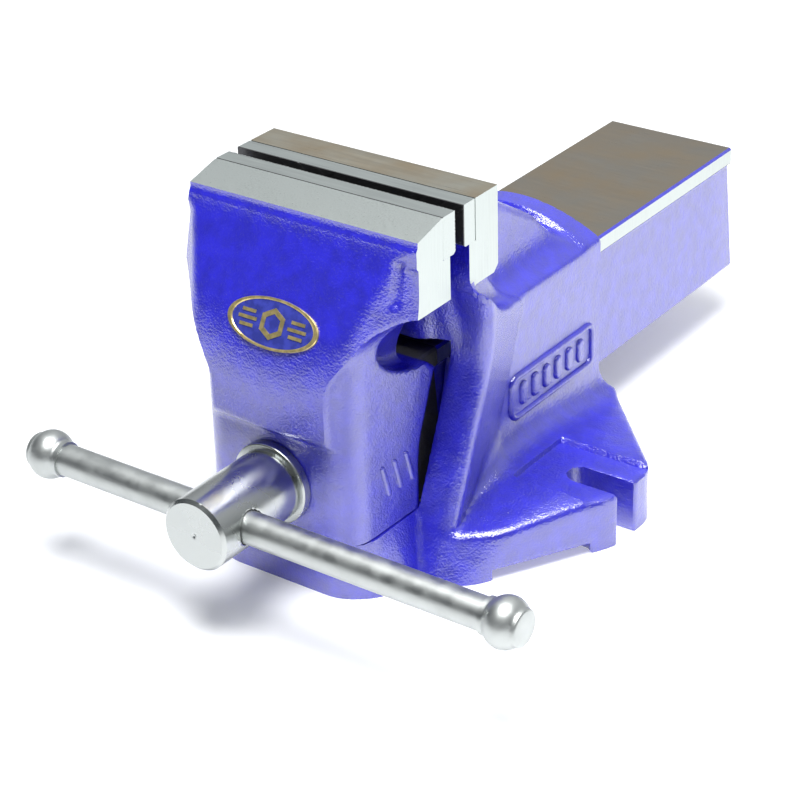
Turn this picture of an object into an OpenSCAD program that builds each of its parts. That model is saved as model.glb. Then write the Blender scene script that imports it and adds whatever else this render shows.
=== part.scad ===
// Fitter's bench vise with 115 mm jaws, millimetres.
// +X runs to the right along the jaws, +Y from the handle to the tail of the slide, +Z up.
// The origin is on the sole, midway between the two bench bolt slots.

/* [Jaws] */
// Width of the jaws
jaw_w = 115; // [95:1:140]
// Height of the jaw tops above the bench
jaw_top = 166; // [150:1:200]
// Distance of the fixed gripping face in front of the bolt line
jaw_face = 52; // [48:1:56]
// Opening between the gripping faces at rest
jaw_gap = 5.6; // [1:0.1:20]
// Largest opening between the gripping faces
jaw_open_max = 150; // [120:1:150]
// Height of the bare machined flanks of the jaws
jaw_flank_h = 38; // [30:1:45]
// Depth of the jaw tops behind each plate
jaw_back = 16; // [12:0.5:20]

/* [Jaw plates] */
// Thickness of a jaw plate
plate_t = 8.8; // [7:0.1:11]
// Height of a jaw plate
plate_h = 18.5; // [15:0.5:22]
// How far a plate stands proud of the casting below it
plate_proud = 4; // [2:0.1:5]
// Distance between the two screws of a plate
plate_screw_pitch = 70; // [50:1:90]
// Diameter of a plate screw's shank
plate_screw_d = 8; // [6:0.5:9]
// Length of a plate screw's shank behind the plate
plate_screw_l = 10; // [8:0.5:11]

/* [Slide] */
// Width of the slide over its top flanges
slide_w = 69; // [57:0.5:84]
// Extra width of the slide at its lower edge
slide_flare = 6; // [0:0.5:8]
// Height of the slide's top above the bench
slide_top = 91.4; // [88:0.1:100]
// Height of the slide's lower edge above the bench
slide_bottom = 27; // [24:0.1:30]
// Distance of the slide's tail behind the bolt line
slide_tail = 219; // [182:0.5:264]
// Thickness of the slide's top
slide_roof = 11; // [8:0.5:14]
// Thickness of the slide's walls
slide_wall = 9; // [7:0.5:11]
// Height of the slide's top flanges
slide_flange_h = 8.5; // [6:0.5:12]
// Gap between the slide and its channel
slide_clear = 0.35; // [0.2:0.05:0.5]

/* [Sliding jaw] */
// Width of the neck below the sliding jaw
neck_w = 78; // [76:1:100]
// Distance of the neck's front in front of the fixed gripping face
neck_reach = 56.5; // [54:0.5:64]
// Thickness of the neck's front wall
neck_wall = 24; // [18:0.5:26]
// Width of the shield at the bottom of the jaw's front
shield_w = 63; // [56:1:68]
// Height of the shield's lower edge above the bench
shield_bottom = 74.5; // [72:0.5:80]
// Distance that the shield stands in front of the neck
shield_proud = 5.5; // [3:0.5:8]
// Lean of the jaw's front from the vertical
shield_lean = 29; // [20:1:32]

/* [Body] */
// Thickness of the channel's walls at the slide's lower edge
body_wall = 5.4; // [4:0.1:9]
// Distance of the body's rear face behind the bolt line
body_rear = 79.5; // [70:0.5:90]
// Rise of the roof's arch above the slide
roof_rise = 18; // [14:0.5:24]
// Width of the front column at the bench
column_w = 140; // [120:1:146]
// Gap between the neck and the column at rest
column_gap = 6.4; // [6:0.1:12]

/* [Base] */
// Width of the base over its lugs
base_w = 211; // [190:1:240]
// Height of the lug's seat for a bolt washer
lug_t = 25; // [18:0.5:26]
// Width of the lugs' tips
lug_w = 42; // [36:1:50]
// Width of a bench bolt slot
slot_w = 13; // [10:0.5:16]
// Depth of a bench bolt slot from the lug's tip
slot_l = 29.5; // [24:0.5:34]
// Relief of the sole between its pads
sole_relief = 4.5; // [2:0.5:6]
// Depth of the hollows cast into the sole
pocket_h = 14; // [8:0.5:15]

/* [Screw] */
// Height of the screw's axis above the bench
screw_z = 49.4; // [47:0.1:52]
// Diameter of the screw's head
head_d = 32; // [30:0.5:36]
// Length of the screw's head
head_l = 48; // [40:0.5:60]
// Outer diameter of the thread
thread_d = 25; // [20:0.5:27]
// Diameter of the plain shank under the head
shank_d = 26; // [21:0.5:29]
// Travel of the jaw for one turn of the screw
thread_lead = 6; // [4:0.5:8]
// Distance of the screw's end behind the bolt line
screw_end = 165; // [160:1:175]
// Radial gap of the screw in its bores
run_clear = 0.1; // [0.05:0.01:0.1]

/* [Handle] */
// Diameter of the handle bar
bar_d = 14; // [12:0.5:17]
// Length of the handle between the middles of its knobs
bar_l = 231; // [180:1:260]
// Distance of the handle's middle to the right of the screw at rest
bar_shift = 22; // [-40:1:40]
// Distance of the bar behind the head's front face
bar_set = 17.6; // [15:0.1:24]
// Diameter of a knob
knob_d = 21.5; // [20:0.5:25]
// Length of a knob
knob_l = 17; // [14:0.5:20]
// Radial gap of the bar in the head
bar_clear = 0.4; // [0.2:0.05:0.6]

/* [Nut and retainer] */
// Length of the nut along the screw
nut_l = 48; // [44:1:54]
// Gap between the nut and the walls of the slide's hollow
nut_gap = 3.5; // [1:0.5:6]
// Gap between the screw's shank and the nut with the jaws closed
nut_reach = 1.4; // [1:0.1:4]
// Diameter of a nut bolt
nut_bolt_d = 10; // [8:0.5:11]
// Distance between the two nut bolts
nut_bolt_pitch = 24; // [24:1:28]
// Thickness of the thrust washer
washer_t = 4.7; // [3:0.1:6]
// Diameter of the thrust washer
washer_d = 37; // [34:0.5:40]
// Wire diameter of the retaining spring
spring_wire = 3; // [2:0.1:3.5]
// Length of the retaining spring
spring_l = 16; // [14:0.5:20]
// Length of the retaining collar
collar_l = 11; // [9:0.5:14]
// Diameter of the retaining collar
collar_d = 40; // [38:0.5:42]

/* [Badge] */
// Width of the oval badge
badge_w = 46; // [38:1:50]
// Height of the oval badge
badge_h = 21; // [16:1:24]
// Distance of the badge's middle below the jaw tops
badge_drop = 46; // [40:1:50]

/* [Hidden] */
$fn = 64;
// Overlap that makes cuts run clean through
over = 1;
// Gap between flat faces of different pieces
face_clear = 0.1;

// Jaw faces along Y
fixed_face = -jaw_face;
fixed_seat = fixed_face + plate_t;
fixed_back = fixed_seat + jaw_back;
slide_face = fixed_face - jaw_gap;
slide_seat = slide_face - plate_t;
slide_front = slide_seat - jaw_back;
flank_z = jaw_top - jaw_flank_h;
seat_z = jaw_top - plate_h;
// Bevel along the front of the sliding jaw's top
bevel_drop = 4.4;

// Slide section
flange_x = slide_w / 2;
web_x = flange_x - 1;
foot_x = flange_x + slide_flare / 2;
flange_z = slide_top - slide_flange_h;
hollow_z = slide_top - slide_roof;
hollow_top_x = web_x - slide_wall;
hollow_foot_x = foot_x - slide_wall;

// Neck and front of the sliding jaw
neck_x = max(neck_w / 2, foot_x + 1.5);
neck_front = fixed_face - neck_reach;
neck_inner = neck_front + neck_wall;
shield_front = neck_front - shield_proud;
// Ends of the jaw's leaning front
lean_top_y = slide_front - 2.6;
lean_top_z = jaw_top - 11;
lean_foot_y = shield_front + 1.5;
lean_foot_z = lean_top_z - (lean_top_y - lean_foot_y) / tan(shield_lean);
// Where the neck's back meets the slide's top and its lower edge, and its slope
neck_back_top = fixed_face + 5;
neck_back_foot = neck_back_top - 24;
neck_back_z = slide_top - 2;
neck_slope = (neck_back_top - neck_back_foot) / (neck_back_z - slide_bottom);

// Body
floor_z = slide_bottom - slide_clear;
roof_z = slide_top + slide_clear;
side_x = foot_x + slide_clear + body_wall;
arch_top = slide_top + roof_rise;
arch_r = 69;
shoulder_z = 97;
column_front_top = neck_back_top + column_gap + neck_slope * (shoulder_z - neck_back_z);
column_front_foot = neck_back_foot + column_gap - neck_slope * slide_clear;
column_x = max(column_w / 2, side_x + 12);
shoulder_x = max(50, side_x + 5);
side_start = 8;

// Base
base_x = base_w / 2;
slot_r = slot_w / 2;
slot_in_x = base_x - slot_l + slot_r;
apron_front = neck_front + 1;
apron_x = neck_x - 2;
tip_y = lug_w / 2;
rear_foot = body_rear + 7;
flange_edge_z = lug_t - 5;
ridge_z = lug_t + 2.5;
pad_start = base_x - 11;

// Screw
head_front = neck_front - washer_t - 2 * face_clear - head_l;
head_back = head_front + head_l;
bar_y = head_front + bar_set;
shank_end = neck_inner + face_clear + 2.5 + spring_l + collar_l + 2;
thread_depth = thread_lead / 2;
spring_seat = neck_inner + face_clear;
spring_washer_t = 2.5;
spring_start = spring_seat + spring_washer_t;
collar_start = spring_start + spring_l;
pin_y = collar_start + collar_l / 2;
pin_r = 2.5;

// Nut and its bolts
nut_r = hollow_top_x - nut_gap;
nut_front = shank_end + jaw_gap + nut_reach;
nut_back = nut_front + nut_l;
nut_mid = (nut_front + nut_back) / 2;
nut_bolt_y = [nut_mid - nut_bolt_pitch / 2, nut_mid + nut_bolt_pitch / 2];
bolt_seat_z = 12;
bolt_head_h = 6.5;
bolt_washer_t = 2;
bolt_tip_z = screw_z - thread_d / 2 - 3;
dowel_r = 4;
dowel_y = nut_mid;

paint = "royalblue";
bare = "silver";

// Outline (Y, Z) carried along X, centred
module across(width) {
    rotate([90, 0, 90]) linear_extrude(width, center = true) children();
}

// Outline (X, Z) carried along Y from one place to another
module along(from, to) {
    translate([0, to, 0]) rotate([90, 0, 0]) linear_extrude(to - from) children();
}

// Cylinder along Y between two places on the axis at a height
module rod_y(r, from, to, z) {
    translate([0, from, z]) rotate([-90, 0, 0]) cylinder(r = r, h = to - from);
}

// A child and its mirror image on the left
module both_sides() {
    children();
    mirror([1, 0, 0]) children();
}

// Half section of the slide grown by a gap, mirrored by symmetry
module slide_outline(gap) {
    polygon([
        [flange_x + gap, slide_top + gap],
        [flange_x + gap, flange_z - gap],
        [web_x + gap, flange_z - gap],
        [foot_x + gap, slide_bottom - gap],
        [-foot_x - gap, slide_bottom - gap],
        [-web_x - gap, flange_z - gap],
        [-flange_x - gap, flange_z - gap],
        [-flange_x - gap, slide_top + gap]
    ]);
}

// Plan of the sole: apron, flared column foot, two lobes on each lug, tapered tail
module sole_plan() {
    half = [
        [0, apron_front],
        [apron_x - 3, apron_front],
        [apron_x + 2, apron_front + 4],
        [apron_x + 10, apron_front + 14],
        [column_x, column_front_foot],
        [column_x + 4, column_front_foot + 8],
        [column_x + (base_x - column_x) * 0.5, -44],
        [base_x - 6, -tip_y - 6],
        [base_x, -tip_y + 4],
        [base_x, tip_y - 4],
        [base_x - 4, tip_y + 2],
        [side_x + 10, rear_foot - 6],
        [side_x - 2, rear_foot],
        [0, rear_foot]
    ];
    polygon(half);
    mirror([1, 0]) polygon(half);
}

// Height of the sole along Y: sloped lobes, washer seat between two ridges
module sole_profile() {
    polygon([
        [apron_front - over, 0],
        [apron_front - over, flange_edge_z],
        [-tip_y - 18, flange_edge_z + 1],
        [-tip_y, ridge_z],
        [-tip_y + 1.5, lug_t],
        [tip_y - 1.5, lug_t],
        [tip_y, ridge_z],
        [tip_y + 18, flange_edge_z + 1],
        [rear_foot + over, flange_edge_z],
        [rear_foot + over, 0]
    ]);
}

module sole() {
    intersection() {
        linear_extrude(ridge_z) sole_plan();
        across(base_w + 2 * over) sole_profile();
    }
}

// The apron under the sliding jaw's neck
module apron() {
    linear_extrude(floor_z) polygon([
        [-apron_x + 3, apron_front],
        [apron_x - 3, apron_front],
        [apron_x, apron_front + 3],
        [neck_x + 1, column_front_foot + 12],
        [-neck_x - 1, column_front_foot + 12],
        [-apron_x, apron_front + 3]
    ]);
}

// Front column that flares from the jaw down to the bench
module column() {
    intersection() {
        linear_extrude(flank_z + 2) polygon([
            [-column_x, column_front_foot],
            [column_x, column_front_foot],
            [shoulder_x + 2, -26],
            [side_x, side_start],
            [side_x, side_start + 4],
            [-side_x, side_start + 4],
            [-side_x, side_start],
            [-shoulder_x - 2, -26]
        ]);
        across(2 * column_x + over) polygon([
            [column_front_foot, 0],
            [column_front_foot, floor_z],
            [column_front_top, shoulder_z],
            [fixed_seat - 2, flank_z + 2],
            [fixed_seat + 6, flank_z + 2],
            [fixed_seat + 22, flank_z - 20],
            [side_start + 4, shoulder_z],
            [side_start + 4, 0]
        ]);
        along(column_front_foot - over, side_start + 5) polygon([
            [column_x, 0],
            [column_x - 4, 46],
            [shoulder_x + 6, 66],
            [shoulder_x, shoulder_z + 10],
            [shoulder_x - 2, flank_z + 2],
            [-shoulder_x + 2, flank_z + 2],
            [-shoulder_x, shoulder_z + 10],
            [-shoulder_x - 6, 66],
            [-column_x + 4, 46],
            [-column_x, 0]
        ]);
    }
}

// Straight walls beside the slide under an arched roof
module tunnel() {
    intersection() {
        translate([-side_x, side_start, 0]) cube([2 * side_x, body_rear - side_start, arch_top]);
        rod_y(arch_r, side_start - over, body_rear + over, arch_top - arch_r);
    }
    translate([-side_x, side_start, 0]) cube([2 * side_x, body_rear - side_start, shoulder_z - 1]);
}

// Fixed jaw: machined head, and the buttress that carries it down to the roof
module fixed_jaw() {
    across(jaw_w) polygon([
        [fixed_seat, jaw_top],
        [fixed_back, jaw_top],
        [fixed_back, flank_z + 3],
        [fixed_back - 3, flank_z],
        [fixed_face + plate_proud, flank_z],
        [fixed_face + plate_proud, seat_z],
        [fixed_seat, seat_z]
    ]);
    across(2 * side_x) polygon([
        [fixed_face + plate_proud, flank_z + 6],
        [fixed_back, flank_z + 20],
        [fixed_back + 14, flank_z + 4],
        [side_start + 6, arch_top - 2],
        [side_start + 6, roof_z - 1],
        [column_front_top + 1, roof_z - 1]
    ]);
}

module bench_slot() {
    translate([slot_in_x, 0, -over]) cylinder(r = slot_r, h = lug_t + 4);
    translate([slot_in_x, -slot_r, -over]) cube([slot_l, slot_w, lug_t + 4]);
}

// Shallow relief under the lobes, which leaves pads at the tips
module lobe_relief() {
    for (s = [-1, 1]) translate([side_x + 10, s > 0 ? tip_y - 4 : -tip_y - 38, -over])
        cube([pad_start - side_x - 10, 42, sole_relief + over]);
}

// Hollows in the sole, in front of and behind the nut's seat
module sole_pockets() {
    translate([-28, apron_front + 10, -over]) cube([56, 42, pocket_h + over]);
    translate([-32, 14, -over]) cube([64, body_rear - 24, pocket_h + over]);
}

// Counterbored holes for the nut's bolts and a blind hole for its dowel
module nut_holes() {
    for (y = nut_bolt_y) {
        translate([0, y, -over]) cylinder(r = nut_bolt_d / 2 + 0.5, h = floor_z + 2 * over);
        translate([0, y, -over]) cylinder(r = nut_bolt_d + 1, h = bolt_seat_z + over);
    }
    translate([0, dowel_y, floor_z - 8]) cylinder(r = dowel_r, h = 8 + over);
}

// Tapped holes for a plate's screws, drilled from the plate's seat
module plate_screw_holes(seat, way) {
    for (s = [-1, 1]) translate([s * plate_screw_pitch / 2, seat, jaw_top - plate_h / 2])
        rotate([-90 * way, 0, 0]) translate([0, 0, -over])
            cylinder(r = plate_screw_d / 2, h = plate_screw_l + 1.5 + over);
}

module body_casting() {
    color(paint) difference() {
        union() {
            sole();
            apron();
            column();
            tunnel();
            fixed_jaw();
        }
        along(column_front_foot - 60, rear_foot + over) slide_outline(slide_clear);
        both_sides() bench_slot();
        both_sides() lobe_relief();
        sole_pockets();
        nut_holes();
        plate_screw_holes(fixed_seat, 1);
    }
}

// Front of the sliding jaw: beveled top, leaning face, shield with concave flanks
module sliding_head() {
    knee_r = (jaw_w - shield_w) / 2;
    difference() {
        across(jaw_w) polygon([
            [slide_seat, jaw_top],
            [slide_front - 1, jaw_top - bevel_drop],
            [lean_top_y, lean_top_z],
            [lean_foot_y, lean_foot_z],
            [shield_front, lean_foot_z - 7],
            [shield_front, shield_bottom],
            [slide_seat, shield_bottom],
            [slide_face - plate_proud, flank_z - 6],
            [slide_face - plate_proud, seat_z],
            [slide_seat, seat_z]
        ]);
        both_sides() {
            rod_y_at(jaw_w / 2, knee_r, shield_front - over, 0, flank_z - knee_r);
            translate([jaw_w / 2 - knee_r, shield_front - over, 0])
                cube([knee_r + over, jaw_w, flank_z - knee_r]);
        }
    }
}

// Cylinder along Y off the centre line
module rod_y_at(x, r, from, to, z) {
    translate([x, 0, 0]) rod_y(r, from, to, z);
}

module neck() {
    across(2 * neck_x) polygon([
        [neck_front, slide_bottom],
        [neck_front, flank_z - 16],
        [neck_front + 16, flank_z + 2],
        [slide_face - plate_proud, flank_z + 2],
        [slide_face - plate_proud, slide_top + 7],
        [neck_back_top - 6, slide_top],
        [neck_back_top, neck_back_z],
        [neck_back_foot, slide_bottom]
    ]);
}

module slide_hollow() {
    along(neck_inner, slide_tail + over) polygon([
        [hollow_top_x, hollow_z],
        [hollow_foot_x, slide_bottom - over],
        [-hollow_foot_x, slide_bottom - over],
        [-hollow_top_x, hollow_z]
    ]);
}

module sliding_jaw_casting() {
    color(paint) difference() {
        union() {
            sliding_head();
            neck();
            along(neck_inner, slide_tail) slide_outline(0);
        }
        slide_hollow();
        rod_y(shank_d / 2 + run_clear, neck_front - over, neck_inner + over, screw_z);
        plate_screw_holes(slide_seat, -1);
    }
}

// A jaw plate with two counterbored holes; way is +1 when its seat is behind it
module jaw_plate(face, way) {
    difference() {
        translate([-jaw_w / 2, way > 0 ? face : face - plate_t, seat_z]) cube([jaw_w, plate_t, plate_h]);
        for (s = [-1, 1]) translate([s * plate_screw_pitch / 2, face, jaw_top - plate_h / 2])
            rotate([-90 * way, 0, 0]) {
                translate([0, 0, -over]) cylinder(r = plate_screw_d / 2 + 0.4, h = plate_t + 2 * over);
                translate([0, 0, -over]) cylinder(r = plate_screw_d * 0.8, h = plate_t * 0.6 + over);
            }
    }
}

// Two socket screws that hold a plate
module plate_screws(face, way) {
    head_r = plate_screw_d * 0.8 - 0.4;
    sink = 0.8;
    for (s = [-1, 1]) translate([s * plate_screw_pitch / 2, face, jaw_top - plate_h / 2])
        rotate([-90 * way, 0, 0]) difference() {
            union() {
                translate([0, 0, sink]) cylinder(r = head_r, h = plate_t * 0.6 - sink);
                translate([0, 0, plate_t * 0.6 - over])
                    cylinder(r = plate_screw_d / 2 - 0.05, h = plate_t * 0.4 + over + plate_screw_l);
            }
            translate([0, 0, -over]) cylinder(r = plate_screw_d * 0.4, h = over + sink + 2.6, $fn = 6);
        }
}

// Screw turned from one bar: chamfered head, plain shank, threaded length with a lead-in
module main_screw() {
    t = thread_d / 2;
    color(bare) difference() {
        translate([0, 0, screw_z]) rotate([-90, 0, 0]) rotate_extrude() polygon([
            [0, head_front],
            [head_d / 2 - 1.5, head_front],
            [head_d / 2, head_front + 1.5],
            [head_d / 2, head_back - 1],
            [head_d / 2 - 1, head_back],
            [shank_d / 2, head_back],
            [shank_d / 2, shank_end],
            [t, shank_end + 1],
            [t, screw_end - thread_depth],
            [t - thread_depth, screw_end],
            [0, screw_end]
        ]);
        translate([-head_d, bar_y, screw_z]) rotate([0, 90, 0])
            cylinder(r = bar_d / 2 + bar_clear, h = 2 * head_d);
        translate([0, pin_y, screw_z - collar_d / 2]) cylinder(r = pin_r, h = collar_d);
    }
}

// Flat ring on the screw
module ring(inner_r, outer_r, from, to) {
    difference() {
        rod_y(outer_r, from, to, screw_z);
        rod_y(inner_r, from - over, to + over, screw_z);
    }
}

module thrust_washer() {
    color(bare) ring(shank_d / 2 + run_clear, washer_d / 2, neck_front - washer_t, neck_front);
}

module spring_washer() {
    color(bare) ring(shank_d / 2 + run_clear, collar_d / 2 - 1, spring_seat, spring_start);
}

// Compression spring that keeps the collar pressed back from the neck
module retaining_spring() {
    turns = 4;
    steps = 20;
    sides = 8;
    coil_r = shank_d / 2 + 0.6 + spring_wire / 2;
    wire_r = spring_wire / 2;
    n = turns * steps;
    rise = spring_l - spring_wire - 0.2;
    points = [for (i = [0:n]) for (j = [0:sides - 1])
        let (a = 360 * i / steps, b = 360 * j / sides, r = coil_r + wire_r * cos(b))
        [r * cos(a), spring_start + 0.1 + wire_r + rise * i / n + wire_r * sin(b), screw_z + r * sin(a)]];
    faces = [for (i = [0:n - 1]) for (j = [0:sides - 1])
        [i * sides + j, i * sides + (j + 1) % sides, (i + 1) * sides + (j + 1) % sides, (i + 1) * sides + j]];
    ends = [[for (j = [sides - 1:-1:0]) j], [for (j = [0:sides - 1]) n * sides + j]];
    color(bare) polyhedron(points, concat(faces, ends));
}

module retaining_collar() {
    color(bare) difference() {
        ring(shank_d / 2, collar_d / 2, collar_start, collar_start + collar_l);
        translate([0, pin_y, screw_z - collar_d / 2 - over]) cylinder(r = pin_r, h = collar_d + 2 * over);
    }
}

module collar_pin() {
    color(bare) translate([0, pin_y, screw_z - collar_d / 2 + 1]) cylinder(r = pin_r, h = collar_d - 2);
}

module handle_bar() {
    color(bare) translate([bar_shift - bar_l / 2, bar_y, screw_z]) rotate([0, 90, 0])
        cylinder(r = bar_d / 2, h = bar_l);
}

// Turned knob: rounded inner shoulder, full waist, flat outer end
module handle_knob(side) {
    r = knob_d / 2;
    h = knob_l / 2;
    color(bare) translate([bar_shift + side * bar_l / 2, bar_y, screw_z])
        rotate([0, 90 * side, 0]) difference() {
            rotate_extrude() polygon([
                [0, -h], [bar_d / 2 + 0.8, -h], [r - 1.2, -h + 3], [r, -h + 6],
                [r, h - 6], [r - 1.2, h - 3], [r - 4, h], [0, h]
            ]);
            translate([0, 0, -h - over]) cylinder(r = bar_d / 2, h = h + over);
        }
}

// Cast nut: a foot bolted to the floor and a barrel around the screw
module main_nut() {
    color("dimgray") difference() {
        union() {
            translate([-nut_r, nut_front, floor_z]) cube([2 * nut_r, nut_l, screw_z - floor_z]);
            rod_y(nut_r, nut_front, nut_back, screw_z);
        }
        translate([-2 * nut_r, nut_front - over, floor_z - 4 * nut_r])
            cube([4 * nut_r, nut_l + 2 * over, 4 * nut_r]);
        rod_y(thread_d / 2 + run_clear, nut_front - over, nut_back + over, screw_z);
        for (y = nut_bolt_y) translate([0, y, floor_z - over])
            cylinder(r = nut_bolt_d / 2, h = bolt_tip_z + 1 - floor_z + over);
        translate([0, dowel_y, floor_z - over]) cylinder(r = dowel_r, h = 6 + over);
    }
}

module nut_bolts() {
    color(bare) for (y = nut_bolt_y) {
        translate([0, y, bolt_seat_z - bolt_washer_t - bolt_head_h])
            cylinder(r = nut_bolt_d * 0.92, h = bolt_head_h, $fn = 6);
        translate([0, y, bolt_seat_z - bolt_washer_t - over])
            cylinder(r = nut_bolt_d / 2 - 0.05, h = bolt_tip_z - bolt_seat_z + bolt_washer_t + over);
    }
}

module nut_bolt_washers() {
    color(bare) for (y = nut_bolt_y) translate([0, y, bolt_seat_z - bolt_washer_t]) difference() {
        cylinder(r = nut_bolt_d + 0.5, h = bolt_washer_t);
        translate([0, 0, -over]) cylinder(r = nut_bolt_d / 2 + 0.5, h = bolt_washer_t + 2 * over);
    }
}

module nut_dowel() {
    color(bare) translate([0, dowel_y, floor_z - 7.5]) cylinder(r = dowel_r, h = 13);
}

// Thin oval plate on the leaning front
module badge() {
    plate = 1;
    mid_y = lean_top_y - (badge_drop - jaw_top + lean_top_z) * tan(shield_lean);
    color("goldenrod") translate([0, mid_y, jaw_top - badge_drop]) rotate([90 - shield_lean, 0, 0])
        linear_extrude(plate)
        polygon([for (a = [0:6:354]) [badge_w / 2 * cos(a), badge_h / 2 * sin(a)]]);
}

body_casting();
sliding_jaw_casting();
color(bare) jaw_plate(fixed_face, 1);  // fixed_jaw_plate
color(bare) jaw_plate(slide_face, -1);  // sliding_jaw_plate
color(bare) plate_screws(fixed_face, 1);  // fixed_jaw_plate_screws
color(bare) plate_screws(slide_face, -1);  // sliding_jaw_plate_screws
main_screw();
thrust_washer();
handle_bar();
handle_knob(-1);  // handle_knob_left
handle_knob(1);  // handle_knob_right
spring_washer();
retaining_spring();
retaining_collar();
collar_pin();
main_nut();
nut_bolts();
nut_bolt_washers();
nut_dowel();
badge();
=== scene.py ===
"""Bench vise: cast body and sliding jaw, steel screw, handle, jaw plates and badge.

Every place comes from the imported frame. Shapes are worked out in millimetres and put into the
meshes in metres. +X runs along the jaws, +Y from the handle to the tail of the slide, +Z up.
"""

import math
from types import SimpleNamespace

import bmesh
import bpy
import numpy as np
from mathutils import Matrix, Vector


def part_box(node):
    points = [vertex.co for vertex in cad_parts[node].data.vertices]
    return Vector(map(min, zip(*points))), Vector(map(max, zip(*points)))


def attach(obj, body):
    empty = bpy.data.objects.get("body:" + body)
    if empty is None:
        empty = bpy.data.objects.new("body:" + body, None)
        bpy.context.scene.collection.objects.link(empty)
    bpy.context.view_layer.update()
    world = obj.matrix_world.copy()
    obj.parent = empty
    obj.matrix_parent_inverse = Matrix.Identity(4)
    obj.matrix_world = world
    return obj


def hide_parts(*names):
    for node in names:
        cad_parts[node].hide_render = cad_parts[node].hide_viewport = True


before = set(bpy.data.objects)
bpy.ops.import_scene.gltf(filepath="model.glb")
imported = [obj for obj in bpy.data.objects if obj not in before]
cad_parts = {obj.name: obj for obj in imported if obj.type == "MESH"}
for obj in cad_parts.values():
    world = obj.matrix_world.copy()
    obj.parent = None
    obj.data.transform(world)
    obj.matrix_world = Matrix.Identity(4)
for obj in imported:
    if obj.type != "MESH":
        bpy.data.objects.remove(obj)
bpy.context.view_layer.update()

bl_info = {
    "name": "Bench Vise",
    "version": (1, 0, 0),
    "blender": (4, 5, 0),
    "location": "View3D > Sidebar > Bench Vise",
    "description": "Builds the finished look of a cast iron bench vise around its frame",
    "category": "Add Mesh",
}

MM = 0.001

# Face numbers of the castings' finishes, in the order of casting_materials(); the last is the
# slide's dark iron root, painted shade of the gap behind the neck.
PAINT, GROUND, TOP, SLIDE_TOP, ROOT_SHADE = range(5)
# A level in millimetres past every casting, for planes that one side leaves open.
FAR = 1e3
# Run of the column's front face and of the sole's front over their height.
SLOPE = 24 / 62.4
# Widening of the neck toward the rear, and how far raised marks reach into what they stand on.
NECK_FLARE, SUNK = 0.03, 0.8
# Grid of the finely cut pieces, in millimetres.
FINE_STEP = 0.6
# Corner angles in degrees above which an edge stays sharp.
CAST_SHARP, MARK_SHARP, PLATE_SHARP, STEEL_SHARP, SOFT_SHARP = 32, 50, 25, 30, 40
# The contour's margin and probe in cubes, and the least share of a direction that it fits.
GRID_MARGIN, PROBE, LEAST_SHARE = 2.37, 0.02, 0.04

CAMERA_PLACE = (0.53171, -0.74147, 0.53436)
CAMERA_TURN = (61.4335, 1.4990, 35.5690)
CAMERA_LENS, CAMERA_SENSOR, CAMERA_NEAR = 103.52, 36, 0.05
FLOOR_REACH = 6.0
# The floor glows white, brighter toward +X and a little toward the rear: painted light standing in
# for a lit light table, which lights the castings' sides and shows in their reflections.
FLOOR_GLOW = {"From Min": -0.1, "From Max": 0.12, "To Min": 0.06, "To Max": 0.4}
FLOOR_GLOW_WAY = (0.97, 0.25, 0)
SKY_WAY = (0, 0.6, 0.8)
SKY_LOW = (0.05, (0.07, 0.08, 0.09, 1))
SKY_HIGH = (0.85, (0.62, 0.64, 0.66, 1))
KEY_PLACE, KEY_TARGET, KEY_SIZE, KEY_POWER = (0.15, -0.35, 1.75), (0, 0, 0.08), 0.9, 46


def corners(node):
    """Lowest and highest corner of a frame node, in millimetres."""
    low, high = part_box(node)
    return np.array(low) / MM, np.array(high) / MM


BODY_LOW, BODY_HIGH = corners("body_casting")
JAW_LOW, JAW_HIGH = corners("sliding_jaw_casting")
FIXED_LOW, FIXED_HIGH = corners("fixed_jaw_plate")
SLIDE_LOW, SLIDE_HIGH = corners("sliding_jaw_plate")
SCREW_LOW, SCREW_HIGH = corners("main_screw")
BAR_LOW, BAR_HIGH = corners("handle_bar")
WASHER_LOW, WASHER_HIGH = corners("thrust_washer")
KNOB_LOW, KNOB_HIGH = corners("handle_knob_right")
LEFT_HIGH = corners("handle_knob_left")[1]
BADGE_LOW, BADGE_HIGH = corners("badge")
COLLAR_HIGH = corners("retaining_collar")[1]
SPRING_LOW, SPRING_HIGH = corners("retaining_spring")
NUT_WASHER_LOW, NUT_WASHER_HIGH = corners("nut_bolt_washers")

JAW_X = FIXED_HIGH[0]
JAW_TOP = FIXED_HIGH[2]
SEAT_Z = FIXED_LOW[2]
SCREW_Z = (WASHER_LOW[2] + WASHER_HIGH[2]) / 2
BAR_Y = (BAR_LOW[1] + BAR_HIGH[1]) / 2
BAR_R = (BAR_HIGH[1] - BAR_LOW[1]) / 2


# ---- settings -------------------------------------------------------------------------------


def length(name, description, value):
    """A length property whose default is given in millimetres."""
    return bpy.props.FloatProperty(
        name=name, description=description, default=value * MM, unit="LENGTH", precision=5
    )


def colour(name, description, value):
    """A colour property."""
    return bpy.props.FloatVectorProperty(
        name=name, description=description, default=value, subtype="COLOR", size=3, min=0, max=1
    )


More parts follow.
